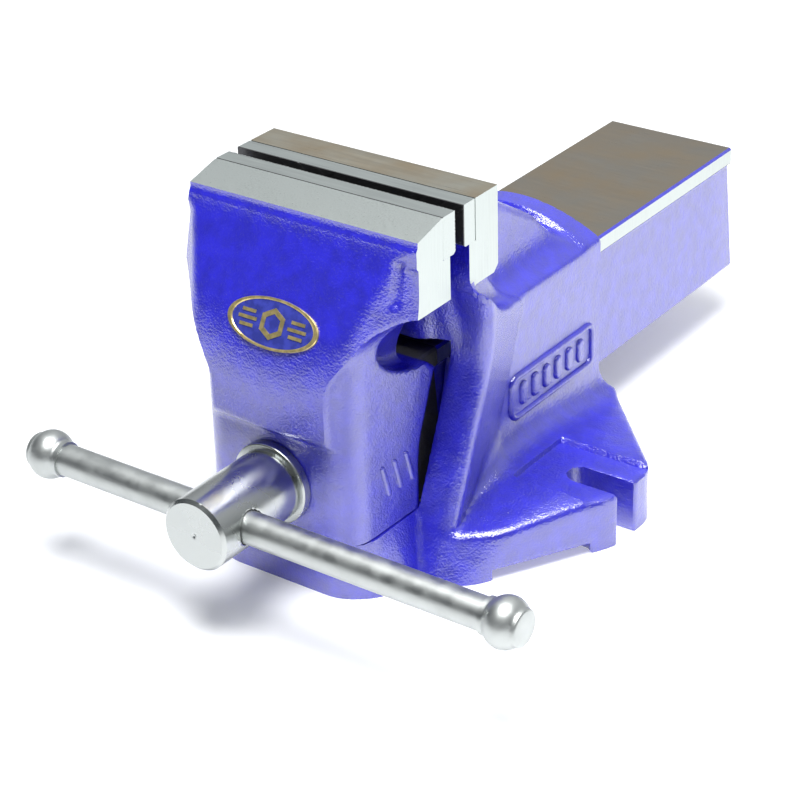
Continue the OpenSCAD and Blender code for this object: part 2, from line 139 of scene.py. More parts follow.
class BodySizes(bpy.types.PropertyGroup):
    """Sizes of the body casting that the frame's boxes don't give."""

    step: length("Grid", "Size of the cubes that the casting's surface is found in", 1.6)
    flank_z: length("Flank", "Height where the bare flanks of the jaws begin", 128)
    side_x: length("Side", "Half width of the body over its flat sides", 43.25)
    shoulder_z: length("Shoulder", "Height of the sides' top edges", 97)
    column_x: length("Column", "Half width of the column's front face", 61.3)
    column_y: length("Column front", "Place of the column's front face at the shoulder", -37.7)
    floor_z: length("Floor", "Height of the channel's floor", 26.65)
    roof_z: length("Roof", "Height of the channel's roof", 91.75)
    clear: length("Slide gap", "Gap between the slide and its channel", 0.35)
    seat_z: length("Bolt seat", "Height of the seats for the bench bolts' washers", 25)
    ridge_z: length("Ridge", "Height of the ridges beside the seats", 27.5)
    slot_r: length("Slot radius", "Half width of a bench bolt slot", 6.5)
    slot_x: length("Slot", "Distance of a slot's round end from the middle", 82.5)
    rim_w: length("Rim", "Width of the arched rim at the rear", 12)
    fillet: length("Fillet", "Width of the blend between the sides and the lugs", 16)


class JawSizes(bpy.types.PropertyGroup):
    """Sizes of the sliding jaw casting that the frame's boxes don't give."""

    step: length("Grid", "Size of the cubes that the casting's surface is found in", 1.2)
    slide_top: length("Slide top", "Height of the slide's top", 91.4)
    flange_x: length("Flange", "Half width of the slide over its top flanges", 35)
    lip: length("Lip", "How far a flange stands out from the slide's wall", 1.9)
    flange_z: length("Flange underside", "Height of the flanges' lower edges", 82.9)
    foot_x: length("Slide foot", "Half width of the slide at its lower edge", 37.5)
    wall: length("Slide wall", "Thickness of the slide's walls", 9)
    roof: length("Slide roof", "Thickness of the slide's top", 11)
    neck_x: length("Neck", "Half width of the neck at its front", 39)
    neck_wall: length("Neck wall", "Thickness of the neck's front wall", 24)
    bore_r: length("Bore", "Radius of the hole for the screw's shank", 13.1)
    shield_x: length("Shield", "Half width of the shield at the jaw's foot", 29.5)
    shield_z: length("Shield foot", "Height of the shield's lower edge", 74.5)
    lean: bpy.props.FloatProperty(
        name="Lean",
        description="Lean of the jaw's front from the vertical",
        default=math.radians(29),
        subtype="ANGLE",
    )


class SteelSizes(bpy.types.PropertyGroup):
    """Sizes of the turned and ground steel pieces."""

    shank_r: length("Shank", "Radius of the screw's plain shank", 13)
    thread_r: length("Thread", "Outer radius of the thread", 12.5)
    lead: length("Lead", "Travel of the jaw for one turn of the screw", 6)
    depth: length("Thread depth", "Depth of the thread", 2.2)
    serration: length("Serration", "Distance between the cuts on a jaw plate", 2.4)
    cut: length("Cut", "Depth of the cuts on a jaw plate", 0.35)
    screw_x: length("Plate screw", "Distance of a plate's screws from its middle", 35)
    head_r: length("Counterbore", "Radius of a plate's counterbores", 6.4)
    head_depth: length("Counterbore depth", "Depth of a plate's counterbores", 5.28)
    hole_r: length("Plate hole", "Radius of a plate's holes behind the counterbores", 4.4)


class Finishes(bpy.types.PropertyGroup):
    """Colours of the finishes."""

    paint: colour("Paint", "Gloss enamel on the castings", (0.012, 0.009, 0.52))
    ground: colour("Ground iron", "Bare machined iron of the jaws and the slide", (0.56, 0.60, 0.58))
    polished: colour("Polished steel", "Screw, handle and washer", (0.50, 0.52, 0.51))
    dark: colour("Dark steel", "Springs and bolts", (0.10, 0.10, 0.11))
    gold: colour("Gilt", "Rim and emblem of the badge", (0.72, 0.58, 0.25))
    enamel: colour("Enamel", "Field of the badge", (0.035, 0.045, 0.30))
    floor: colour("Floor", "Studio floor", (0.84, 0.85, 0.86))


class ViseSettings(bpy.types.PropertyGroup):
    """All settings of the vise."""

    body: bpy.props.PointerProperty(type=BodySizes)
    jaw: bpy.props.PointerProperty(type=JawSizes)
    steel: bpy.props.PointerProperty(type=SteelSizes)
    finish: bpy.props.PointerProperty(type=Finishes)


def in_mm(group):
    """The lengths of a property group in millimetres, and its angles in radians."""
    values = {}
    for name in type(group).__annotations__:
        value = getattr(group, name)
        values[name] = value if name == "lean" else value / MM
    return SimpleNamespace(**values)


# ---- distance fields ------------------------------------------------------------------------


def smooth_max(a, b, k):
    """The larger of two distances, with the edge between them rounded over a width k."""
    return np.maximum(a, b) + np.maximum(k - np.abs(a - b), 0) ** 2 / (4 * k)


def smooth_min(a, b, k):
    """The smaller of two distances, with the corner between them filled over a width k."""
    return -smooth_max(-a, -b, k)


def beyond(u, v, a, b):
    """Distance to the right of the line from a to b, in the section (u, v)."""
    run = math.dist(a, b)
    return ((u - a[0]) * (b[1] - a[1]) - (v - a[1]) * (b[0] - a[0])) / run


def outline(u, v, points, k=0.0):
    """Distance past the sides of a convex outline given anticlockwise: the largest of them."""
    distance = None
    for a, b in zip(points, points[1:] + points[:1]):
        past = beyond(u, v, a, b)
        if distance is None:
            distance = past
        elif k:
            distance = smooth_max(distance, past, k)
        else:
            distance = np.maximum(distance, past)
    return distance


def rounded_box(u, v, centre, half, r):
    """Distance to a rectangle with round corners in the section (u, v)."""
    du = np.abs(u - centre[0]) - half[0] + r
    dv = np.abs(v - centre[1]) - half[1] + r
    return np.hypot(np.maximum(du, 0), np.maximum(dv, 0)) + np.minimum(np.maximum(du, dv), 0) - r


def contour(field, low, high, step):
    """Vertices and outward quads of the closed surface where a distance field is zero.

    The field is sampled on a grid of cubes. A cube that the surface crosses gets one vertex, at
    the place that fits the tangent planes at the crossings of its edges best, so flat faces stay
    flat and machined edges stay sharp. Each crossed grid edge joins the vertices of its four
    cubes into a quad that faces out of the solid.
    """
    low = np.array(low) - GRID_MARGIN * step
    count = np.ceil((np.array(high) - low) / step).astype(int) + 3
    lines = [low[i] + step * np.arange(count[i]) for i in range(3)]
    value = field(*np.meshgrid(*lines, indexing="ij", sparse=True))
    value = np.broadcast_to(value, count)
    inside = value < 0
    shape = tuple(count - 1)
    corner_ids, crossings, normals = [], [], []
    for axis in range(3):
        start = np.argwhere(np.diff(inside, axis=axis))
        unit = np.eye(3, dtype=int)[axis]
        end = start + unit
        v0 = value[tuple(start.T)]
        v1 = value[tuple(end.T)]
        out = v0 < 0
        t0, t1 = np.zeros(len(start)), np.ones(len(start))
        base = low + step * start
        for _ in range(4):
            t = t0 + (t1 - t0) * np.clip(v0 / (v0 - v1), 0.05, 0.95)
            v = field(*(base + step * t[:, None] * unit).T)
            same = (v < 0) == (v0 < 0)
            t0, v0 = np.where(same, t, t0), np.where(same, v, v0)
            t1, v1 = np.where(same, t1, t), np.where(same, v1, v)
        point = base + step * (t0 + (t1 - t0) * v0 / (v0 - v1))[:, None] * unit
        reach = PROBE * step * np.eye(3)
        slope = np.stack([field(*(point + e).T) - field(*(point - e).T) for e in reach], 1)
        slope /= np.linalg.norm(slope, axis=1)[:, None] + 1e-12
        u, w = np.eye(3, dtype=int)[(axis + 1) % 3], np.eye(3, dtype=int)[(axis + 2) % 3]
        around = np.stack([start - u - w, start - w, start, start - u], 1)
        around[~out] = around[~out][:, ::-1]
        ids = np.ravel_multi_index(tuple(np.moveaxis(around, 2, 0)), shape)
        corner_ids.append(ids)
        crossings.append(point)
        normals.append(slope)
    ids, faces = np.unique(np.concatenate(corner_ids), return_inverse=True)
    faces = faces.reshape(-1, 4)
    point = np.repeat(np.concatenate(crossings), 4, 0)
    normal = np.repeat(np.concatenate(normals), 4, 0)
    where = faces.ravel()

    def gather(weights):
        return np.bincount(where, weights, len(ids))

    hits = gather(np.ones(len(where)))
    middle = np.stack([gather(point[:, i]) for i in range(3)], 1) / hits[:, None]
    level = (normal * (point - middle[where])).sum(1)
    matrix = np.empty((len(ids), 3, 3))
    for i in range(3):
        for j in range(3):
            matrix[:, i, j] = gather(normal[:, i] * normal[:, j]) / hits
    right = np.stack([gather(normal[:, i] * level) for i in range(3)], 1) / hits[:, None]
    size, axes = np.linalg.eigh(matrix)
    share = np.where(size > LEAST_SHARE, 1 / np.maximum(size, 1e-9), 0)
    shift = np.einsum("nij,nj,nkj,nk->ni", axes, share, axes, right)
    cube = low + step * np.stack(np.unravel_index(ids, shape), 1)
    return np.clip(middle + shift, cube, cube + step), faces


# ---- meshes ---------------------------------------------------------------------------------


def put_mesh(name, vertices, faces, sharp, kinds=None, close=False):
    """A mesh object from vertices in millimetres and faces, smooth but for its sharp edges.

    kinds gives each face its material. close merges doubled points and turns the faces outward.
    """
    mesh = bpy.data.meshes.new(name)
    mesh.from_pydata((np.asarray(vertices) * MM).tolist(), [], [list(f) for f in faces])
    if kinds is not None:
        mesh.polygons.foreach_set("material_index", np.asarray(kinds, dtype=np.int32))
    if close:
        build = bmesh.new()
        build.from_mesh(mesh)
        bmesh.ops.remove_doubles(build, verts=build.verts, dist=1e-6)
        bmesh.ops.recalc_face_normals(build, faces=build.faces)
        build.to_mesh(mesh)
        build.free()
    mesh.shade_smooth()
    mesh.set_sharp_from_angle(angle=math.radians(sharp))
    mesh.update()
    piece = bpy.data.objects.new(name, mesh)
    bpy.context.scene.collection.objects.link(piece)
    return piece


def grid_faces(rows, columns, close_rows=False):
    """Quads of a grid of points whose rows are loops; close_rows joins the last to the first."""
    i = np.arange(rows if close_rows else rows - 1)[:, None]
    j = np.arange(columns)[None, :]
    a = i * columns + j
    b = i * columns + (j + 1) % columns
    c = (i + 1) % rows * columns + (j + 1) % columns
    d = (i + 1) % rows * columns + j
    return np.stack([a, b, c, d], -1).reshape(-1, 4)


def turned(profile, sides, radius=None):
    """A profile of (place, radius) turned about the Z axis: r cos, r sin, place.

    radius(angle, place, r) may change the radius, as for a thread. The ends close on the axis.
    """
    profile = np.array(profile, float)
    angle = np.linspace(0, 2 * math.pi, sides, endpoint=False)[None, :]
    place, r = profile[:, :1], profile[:, 1:]
    if radius:
        r = radius(angle, place, r)
    points = np.stack([r * np.cos(angle), r * np.sin(angle), place + 0 * angle], -1)
    return points.reshape(-1, 3), grid_faces(len(profile), sides)


def along_y(points, z=SCREW_Z):
    """Points turned about Z, laid along +Y at a height."""
    return np.stack([points[:, 0], points[:, 2], z - points[:, 1]], 1)


def along_x(points, y=BAR_Y, z=SCREW_Z):
    """Points turned about Z, laid along +X at a place and a height."""
    return np.stack([points[:, 2], y + points[:, 0], z + points[:, 1]], 1)


def finish_piece(piece, body, slot, *materials, replaces=()):
    """Gives a piece its materials, its body and the nodes that it stands for; its slot is not used.
    """
    for material in materials:
        piece.data.materials.append(material)
    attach(piece, body)
    if replaces:
        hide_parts(*replaces)


def add_turned(name, profile, sides, lay, sharp, body, material, node):
    """A bright piece turned from a profile and laid along its axis, in the place of a node."""
    points, faces = turned(profile, sides)
    piece = put_mesh(name, lay(points), faces, sharp, close=True)
    finish_piece(piece, body, "bright_steel", material, replaces=[node])


# ---- castings -------------------------------------------------------------------------------


def slide_section(x, z, size, gap):
    """Distance to the slide's section grown by a gap: flanged top, walls that spread downward."""
    ax = np.abs(x)
    low = JAW_LOW[2] - gap
    web_x = size.flange_x - size.lip
    flange = np.maximum(ax - size.flange_x - gap, size.flange_z - gap - z)
    web = beyond(ax, z, (size.foot_x + gap, low), (web_x + gap, size.flange_z - gap))
    both = np.minimum(flange, np.maximum(web, z - size.flange_z - gap - 1))
    return np.maximum(both, np.maximum(z - size.slide_top - gap, low - z))


def slide_lines(size):
    """Outer and inner line of the slide's arched section, paired from one foot to the other."""
    web_x = size.flange_x - size.lip
    low, top, roof = JAW_LOW[2], size.slide_top, size.slide_top - size.roof
    turn = np.linspace(0, math.pi / 2, 6)
    slope = (size.foot_x - web_x) / (size.flange_z - low)
    inner_foot, inner_top = size.foot_x - size.wall, size.flange_x - 1 - size.wall
    outer = [(0, top), (size.flange_x - 1.1, top), (size.flange_x, top - 1.1)]
    outer += [(size.flange_x, size.flange_z + 0.6), (size.flange_x - 0.5, size.flange_z)]
    corner = zip(web_x + 1.5 * (1 - np.sin(turn)), size.flange_z - 2.4 * (1 - np.cos(turn)))
    outer += list(corner)
    outer += [(size.foot_x - 1.5 * slope, low + 1.5), (size.foot_x - 1, low)]
    inner = [(x * inner_top / size.flange_x * 0.8, roof) for x, _ in outer[:4]]
    inner += [(inner_top - 5 + 5 * math.sin(t), roof - 5 + 5 * math.cos(t)) for t in turn]
    inner += [(inner_foot - 0.2, low + 4), (inner_foot - 0.1, low + 1.5), (inner_foot, low)]
    lines = []
    for half in (outer, inner):
        half = np.array(half)
        lines.append(np.concatenate([half[:0:-1] * (-1, 1), half]))
    return lines


def lug_field(ax, y, z, size):
    """The sole: convex plan with two lugs, sloped lobes beside a flat washer seat."""
    tip = BODY_HIGH[0]
    near = [(-40, -78), (66, -78), (70.3, -70.3), (tip, -19.5)]
    rear = [(tip, 19.5), (53, 81), (41.5, BODY_HIGH[1]), (-40, BODY_HIGH[1])]
    plan = outline(ax, y, near + rear, 4)
    leaned = y - SLOPE * z
    plan = np.maximum(plan, -75.2 - leaned)
    plan = smooth_max(plan, beyond(ax, leaned, (60, -75.2), (73, -67)), 3)
    slope_front = beyond(y, z, (-21, size.ridge_z), (-60, 21.5))
    slope_rear = beyond(y, z, (60, 21), (21, size.ridge_z))
    edge = z - 22 + 0.55 * beyond(ax, y, (70.3, -70.3), (tip, -19))
    top = smooth_max(smooth_max(slope_front, slope_rear, 2), z - size.ridge_z, 2)
    top = smooth_max(top, edge * 0.88, 4)
    lug = smooth_max(plan, top, 3)
    seat = np.maximum(np.abs(y) - 19.5, np.maximum(size.seat_z - z, 60 - ax))
    return smooth_max(lug, -seat, 1.6)


def apron_field(ax, y, z, size):
    """The apron under the neck, whose side runs back to the column's front."""
    front = BODY_LOW[1]
    plan = outline(ax, y, [(-40, front), (31.5, front), (40.5, -99), (40.5, -50), (-40, -50)], 6)
    plan = plan - 0.34 * (size.floor_z - z) * np.clip((y + 103) / 20, 0, 1)
    return smooth_max(plan, z - size.floor_z, 1.2)


def column_field(ax, y, z, size):
    """The column: front face that leans back, flared sides, top that falls away to the rear."""
    front_low = (size.column_y + SLOPE * (z - size.shoulder_z) - y) / math.hypot(1, SLOPE)
    front_high = beyond(y, z, (-48, 126), (size.column_y, size.shoulder_z))
    front = smooth_min(front_low, front_high, 10)
    spread = 0.335
    flare = ax - size.column_x + spread * (y - size.column_y - SLOPE * (z - size.shoulder_z))
    flare = flare / math.hypot(1, spread, spread * SLOPE)
    steep = beyond(y, z, (-23, 106.6), (-49.8, 129.5))
    shallow = beyond(y, z, (8.5, size.shoulder_z), (-23, 106.6))
    top = smooth_min(steep, shallow, 6)
    wall = smooth_max(front, flare, 7)
    return smooth_max(np.maximum(wall, y - 30), top, 3.5)


def tunnel_field(ax, y, z, size):
    """Straight walls beside the slide, a low arched roof and a prouder arched rim behind."""
    rim_top, rim_r = BODY_HIGH[2] - 56.6, 78.4
    roof_top, roof_r = 105.4, 110
    start, end = -30, 79.5
    rim = np.hypot(ax, z - rim_top + rim_r) - rim_r
    rim = smooth_max(rim, end - size.rim_w - y, 2)
    roof = np.hypot(ax, z - roof_top + roof_r) - roof_r
    top = smooth_min(rim, roof, 4)
    wall = smooth_max(ax - size.side_x, top, 2)
    return np.maximum(smooth_max(wall, y - end, 2), start - y)


def buttress_field(ax, y, z, size):
    """The rib from the fixed jaw's back down to the roof, and the stem under the jaw."""
    rib = outline(y, z, [(-46, 96), (60, 96), (50, 115.5), (-27.2, 163), (-46, 163)], 5)
    rib = smooth_max(rib, ax - 31, 6)
    stem = outline(y, z, [(-37, 90), (8, 90), (-27.2, 136), (-47.9, 136), (-47.9, 126)], 3)
    stem = smooth_max(stem, ax - size.side_x, 5)
    return rib, stem


def panel_field(x, y, z, size):
    """Raised frame on a flat side, with a row of raised round-ended bars inside it."""
    centre, half, frame_r, pitch = (37.5, 48), (35.5, 11.5), 1.6, 9.5
    out = x - size.side_x
    plate = rounded_box(y, z, centre, half, 6)
    ring = smooth_max(np.abs(plate + frame_r) - frame_r, out - frame_r, 2)
    along = (y - centre[0] + 6 * pitch) % pitch - pitch / 2
    pill = rounded_box(along, z, (0, centre[1]), (2.9, 6), 2.8)
    pill = np.maximum(pill, np.abs(y - centre[0]) - 28)
    pill = smooth_max(pill, out - 1.3, 1.8)
    return np.maximum(np.minimum(ring, pill), -SUNK - out)


def mark_field(x, y, z, size):
    """Three slanted bars raised on the side of the neck."""
    (y_middle, z_middle), slant, pitch, half_row = (-77.5, 50), 0.3, 8, 12
    along = y - y_middle + slant * (z - z_middle)
    bar = rounded_box((along + half_row) % pitch, z, (pitch / 2, z_middle), (1.5, 8), 1.4)
    bar = np.maximum(bar, np.abs(along) - half_row)
    out = x - size.neck_x - NECK_FLARE * (y - WASHER_HIGH[1])
    return np.maximum(smooth_max(bar, out - 1.0, 1.2), -SUNK - out)


def body_cuts(d, x, ax, y, z, size):
    """Takes the slots, the relief of the sole, its hollows and the nut's holes out of the body."""
    slot = np.hypot(np.maximum(size.slot_x - ax, 0), y) - size.slot_r
    d = smooth_max(d, -slot, 1.4)
    relief_z, hollow_z = 4.5, 14
    relief = rounded_box(ax, np.abs(y), (76, 38), (22.5, 21), 4)
    d = smooth_max(d, -np.maximum(relief, z - relief_z), 2.5)
    front = rounded_box(x, y, (0, -76.5), (28, 21), 5)
    rear = rounded_box(x, y, (0, 42), (32, 27.5), 5)
    d = smooth_max(d, -np.maximum(np.minimum(front, rear), z - hollow_z), 2)
    washer_r, recess_r, bolt_r, bolt_top = 10.5, 11, 5.5, 40
    for y_bolt in (NUT_WASHER_LOW[1] + washer_r, NUT_WASHER_HIGH[1] - washer_r):
        reach = np.hypot(x, y - y_bolt)
        d = np.maximum(d, -np.maximum(reach - recess_r, z - NUT_WASHER_HIGH[2]))
        d = np.maximum(d, -np.maximum(reach - bolt_r, z - bolt_top))
    return d


def body_field(x, y, z, size, jaw):
    """Distance to the body casting: masses blended, then the faces and the slide's channel cut.

    The channel's mouth is wider in front, where the sliding jaw's neck enters it.
    """
    ax = np.abs(x)
    rib, stem = buttress_field(ax, y, z, size)
    upper = smooth_min(column_field(ax, y, z, size), stem, 6)
    upper = smooth_min(np.minimum(upper, tunnel_field(ax, y, z, size)), rib, 13)
    sole = smooth_min(lug_field(ax, y, z, size), apron_field(ax, y, z, size), 3)
    ramp = np.clip((y + 48) / 36, 0, 1)
    d = smooth_min(upper, sole, 2 + (size.fillet - 2) * ramp * ramp * (3 - 2 * ramp))
    front, back = FIXED_LOW[1] + 4, -27.2
    foot = [(front, size.flank_z), (back - 3, size.flank_z), (back, size.flank_z + 3)]
    head = outline(y, z, foot + [(back, JAW_TOP), (front, JAW_TOP)])
    head = np.maximum(head, ax - JAW_X)
    d = smooth_min(d, head, 4)
    d = np.maximum(d, np.maximum(z - JAW_TOP, -z))
    d = np.maximum(d, np.maximum(y - BODY_HIGH[1], BODY_LOW[1] - y))
    d = np.maximum(d, ax - BODY_HIGH[0])
    d = np.maximum(d, -np.maximum(y - FIXED_HIGH[1], SEAT_Z - z))
    d = np.maximum(d, np.where(z > size.flank_z - 3, front - y, -FAR))
    d = np.maximum(d, -slide_section(x, z, jaw, size.clear))
    low, high = JAW_LOW[2], size.shoulder_z
    mouth = beyond(ax, z, (41.2, low), (42.5, high))
    behind = (y + 52.5 - SLOPE * (z - low)) * 0.93
    height = np.maximum(z - high, size.floor_z - z)
    d = smooth_max(d, -np.maximum(np.maximum(mouth, behind), height), 0.8)
    return body_cuts(d, x, ax, y, z, size)


def shield_field(x, y, z, size):
    """The leaning front of the sliding jaw, its slanted corners and the shield at its foot.

    The corner on the -X side is fuller than the other one.
    """
    ax = np.abs(x)
    run = math.tan(size.lean)
    top = (-85.0, JAW_TOP - 11)
    front, rise, bow = JAW_LOW[1] + 0.2, 1.3, 2.2
    foot = (front + rise, top[1] - (top[0] - front - rise) / run)
    lean = beyond(y, z, top, foot)
    upright = front + bow * (ax / size.shield_x) ** 2 - y
    face = smooth_max(lean, upright, 9)
    ridge_x, ridge_y, ridge_z = np.where(x > 0, 47.5, 54), -86.6, 152.1
    corner = 0.609 * (ax - ridge_x) - 0.769 * (y - ridge_y) + 0.193 * (z - ridge_z)
    shelf = (152 + 0.55 * (ax - ridge_x) - z) * 0.88
    strip = -83.2 - y
    face = smooth_max(face, smooth_min(smooth_min(corner, shelf, 3), strip, 1.5), 2.2)
    return smooth_max(face, size.shield_z - z, 4), face


def neck_field(ax, y, z, size):
    """The neck: square pillar with round front corners, a leaning back and a pocket each side."""
    wide = ax - size.neck_x - NECK_FLARE * (y - WASHER_HIGH[1])
    pillar = smooth_max(wide, WASHER_HIGH[1] - y, 14)
    back = beyond(y, z, (-72, JAW_LOW[2]), (-48.4, 89.4))
    shelf = beyond(y, z, (-53, size.slide_top), (-61.6, 98.4))
    lower = np.maximum(back, shelf)
    pillar = smooth_max(pillar, smooth_min(lower, y + 61.6, 3), 3)
    long, tall, cos, sin = 22.5, 11.2, 0.965, 0.26
    along, across = (y + 65) * cos - (z - 105) * sin, (y + 65) * sin + (z - 105) * cos
    pocket = smooth_max((np.hypot(along / long, across / tall) - 1) * tall, 20 - ax, 4)
    return np.maximum(smooth_max(pillar, -pocket, 2), z - 124)


def jaw_field(x, y, z, size, body):
    """Distance to the sliding jaw casting: head and neck, hollowed for the screw and the spring.

    A superellipse arc bounds the head's cheeks below; it starts lower on the -X side.
    """
    ax = np.abs(x)
    front, back = -83.4, SLIDE_HIGH[1] - 4
    bevel = [(SLIDE_LOW[1], JAW_TOP), (front, JAW_TOP - 4.4)]
    top_block = outline(y, z, [(front, 116), (back, 116), (back, JAW_TOP)] + bevel)
    shield, face = shield_field(x, y, z, size)
    head = smooth_min(top_block, np.maximum(shield, z - JAW_TOP + 9), 4)
    groove_r, groove_x, groove_z = 2.2, 50, (143, 9)
    gap_shade = np.hypot((x - groove_x) * 1.2, y + 85.3 - 0.25 * (z - 152)) - groove_r
    head = smooth_max(head, -smooth_max(gap_shade, np.abs(z - groove_z[0]) - groove_z[1], 3), 2)
    head = np.maximum(head, beyond(y, z, *bevel))
    foot = np.where(x > 0, 98, 92)
    power = np.where(x > 0, 1.65, 1.2)
    width = JAW_X - size.shield_x
    u = np.maximum(JAW_X - ax, 1e-6) / width
    w = np.maximum(z - foot, 1e-6) / (body.flank_z + 0.6 - foot)
    head = smooth_max(head, (1 - (u**power + w**power) ** (1 / power)) * width, 1.4)
    head = np.maximum(head, np.maximum(ax - JAW_X, y - back))
    neck = np.maximum(neck_field(ax, y, z, size), face + 0.6)
    d = smooth_min(head, neck, 4)
    d = np.maximum(d, np.where(z < 150, face, -FAR))
    d = np.maximum(d, JAW_LOW[2] - z)
    d = np.maximum(d, np.where(z > 110, np.maximum(ax - JAW_X, z - JAW_TOP), -FAR))
    d = np.maximum(d, -np.maximum(SLIDE_LOW[1] - y, SEAT_Z - z))
    inner = WASHER_HIGH[1] + size.neck_wall
    foot_x, roof = size.foot_x - size.wall, size.slide_top - size.roof
    walls = [(-60, 0), (foot_x, 0), (foot_x, JAW_LOW[2])]
    hollow = outline(ax, z, walls + [(size.flange_x - 1 - size.wall, roof), (-60, roof)], 3)
    d = np.maximum(d, -smooth_max(hollow, inner - y, 3))
    bore = np.hypot(x, z - SCREW_Z) - size.bore_r
    d = np.maximum(d, -np.maximum(bore, y - inner - 5))
    return d


def machined(vertices, faces, planes):
    """Material number of each face: a plane's own where a face lies in that machined plane."""
    points = vertices[faces]
    centre = points.mean(1)
    normal = np.cross(points[:, 2] - points[:, 0], points[:, 3] - points[:, 1])
    normal /= np.linalg.norm(normal, axis=1)[:, None] + 1e-12
    chosen = np.full(len(faces), PAINT)
    for direction, level, low, high, material in planes:
        direction = np.array(direction, float)
        flat = (np.abs(centre @ direction - level) < 0.25) & (normal @ direction > 0.96)
        within = np.all((centre > np.array(low)) & (centre < np.array(high)), 1)
        chosen[flat & within] = material
    return chosen


def add_slide(size):
    """The slide: its section drawn along Y, dark iron at its root as painted shade of the gap behind
    the neck, with a rounded edge at the tail.
    """
    outer, inner = slide_lines(size)
    start, root, end, r = -73.0, -40, JAW_HIGH[1], 1.6
    step = np.gradient(outer, axis=0)
    inward = np.stack([step[:, 1], -step[:, 0]], 1)
    inward /= np.linalg.norm(inward, axis=1)[:, None]
    turn = np.linspace(0, math.pi / 2, 5)
    stations = [(start, 0.0)] + [(p, 0.0) for p in np.linspace(root, end - r, 14)]
    stations += [(end - r + r * math.sin(t), r - r * math.cos(t)) for t in turn[1:]]
    rows = []
    for place, inset in stations:
        loop = np.concatenate([outer + inset * inward, inner[::-1]])
        rows.append(np.stack([loop[:, 0], np.full(len(loop), place), loop[:, 1]], 1))
    n, m = 2 * len(outer), len(outer)
    faces = grid_faces(len(rows), n)
    kinds = np.full(faces.shape[0], PAINT)
    column = np.tile(np.arange(n), len(rows) - 1)
    middle = m // 2
    kinds[(column == middle) | (column == middle - 1)] = SLIDE_TOP
    kinds[(column == middle + 2) | (column == middle - 3)] = GROUND
    # The span from the slide's start back to its root gets dark iron: painted shade of the gap
    # between the neck and the column.
    kinds[:n] = ROOT_SHADE
    i = np.arange(m - 1)
    caps = []
    for row in (0, len(rows) - 1):
        cap = np.stack([i, i + 1, n - 2 - i, n - 1 - i], 1) + row * n
        caps.append(cap)
    faces = np.concatenate([faces] + caps)
    kinds = np.concatenate([kinds, np.full(len(faces) - len(kinds), GROUND)])
    piece = put_mesh("slide", np.concatenate(rows), faces, STEEL_SHARP, kinds, close=True)
    finish_piece(piece, "sliding_jaw", "blue_paint", *casting_materials(), iron_and_root_shade())


def put_marks(name, field, low, high, body, both):
    """A finely gridded raised mark on the +X side, and on the other side too where asked."""
    vertices, faces = contour(field, low, high, FINE_STEP)
    if both:
        mirror = vertices * (-1, 1, 1)
        faces = np.concatenate([faces, faces[:, ::-1] + len(vertices)])
        vertices = np.concatenate([vertices, mirror])
    piece = put_mesh(name, vertices, faces, MARK_SHARP)
    finish_piece(piece, body, "blue_paint", cast_paint())


def body_planes(size, jaw):
    """The machined planes of the body: direction, level, lowest and highest place, finish."""
    head = size.flank_z - 0.5
    inside = jaw.foot_x + 2
    return [
        ((1, 0, 0), JAW_X, (0, -FAR, head), (FAR, FAR, FAR), GROUND),
        ((-1, 0, 0), JAW_X, (-FAR, -FAR, head), (0, FAR, FAR), GROUND),
        ((0, 0, 1), JAW_TOP, (-FAR, -FAR, head), (FAR, FAR, FAR), TOP),
        ((0, -1, 0), -FIXED_HIGH[1], (-FAR, -FAR, SEAT_Z), (FAR, FAR, FAR), GROUND),
        ((0, 0, 1), SEAT_Z, (-FAR, -FAR, head), (FAR, FIXED_HIGH[1], FAR), GROUND),
        ((0, 0, -1), 0, (-FAR, -FAR, -1), (FAR, FAR, 1), GROUND),
        ((0, 0, -1), -size.roof_z, (-inside, -FAR, 80), (inside, FAR, 95), GROUND),
        ((0, 0, 1), size.floor_z, (-inside, -60, 20), (inside, FAR, 30), GROUND),
    ]


def jaw_planes(body):
    """The machined planes of the sliding jaw: direction, level, places and finish."""
    head = body.flank_z - 0.5
    bevel = math.hypot(17, 4.4)
    up, forward = 17 / bevel, -4.4 / bevel
    level = up * JAW_TOP + forward * SLIDE_LOW[1]
    return [
        ((1, 0, 0), JAW_X, (0, -FAR, head), (FAR, FAR, FAR), GROUND),
        ((-1, 0, 0), JAW_X, (-FAR, -FAR, head), (0, FAR, FAR), GROUND),
        ((0, forward, up), level, (-FAR, -FAR, 155), (FAR, FAR, FAR), GROUND),
        ((0, 1, 0), SLIDE_LOW[1], (-FAR, -FAR, SEAT_Z), (FAR, FAR, FAR), GROUND),
    ]


class VISE_OT_body_casting(bpy.types.Operator):
    """Cast body: lugs, flared column, channel for the slide and fixed jaw"""

    bl_idname = "vise.body_casting"
    bl_label = "Body Casting"

    def execute(self, context):
        body, jaw = in_mm(context.scene.vise.body), in_mm(context.scene.vise.jaw)

        def field(x, y, z):
            return body_field(x, y, z, body, jaw)

        vertices, faces = contour(field, BODY_LOW, BODY_HIGH, body.step)
        vertices = np.clip(vertices, BODY_LOW, BODY_HIGH)
        kinds = machined(vertices, faces, body_planes(body, jaw))
        piece = put_mesh("body_shell", vertices, faces, CAST_SHARP, kinds)
        finish_piece(piece, "body", "blue_paint", *casting_materials(), replaces=["body_casting"])
        x = body.side_x
        put_marks("side_panel", lambda *p: panel_field(*p, body), (x - 1, 1, 35), (x + 2, 74, 61),
                  "body", True)
        return {"FINISHED"}


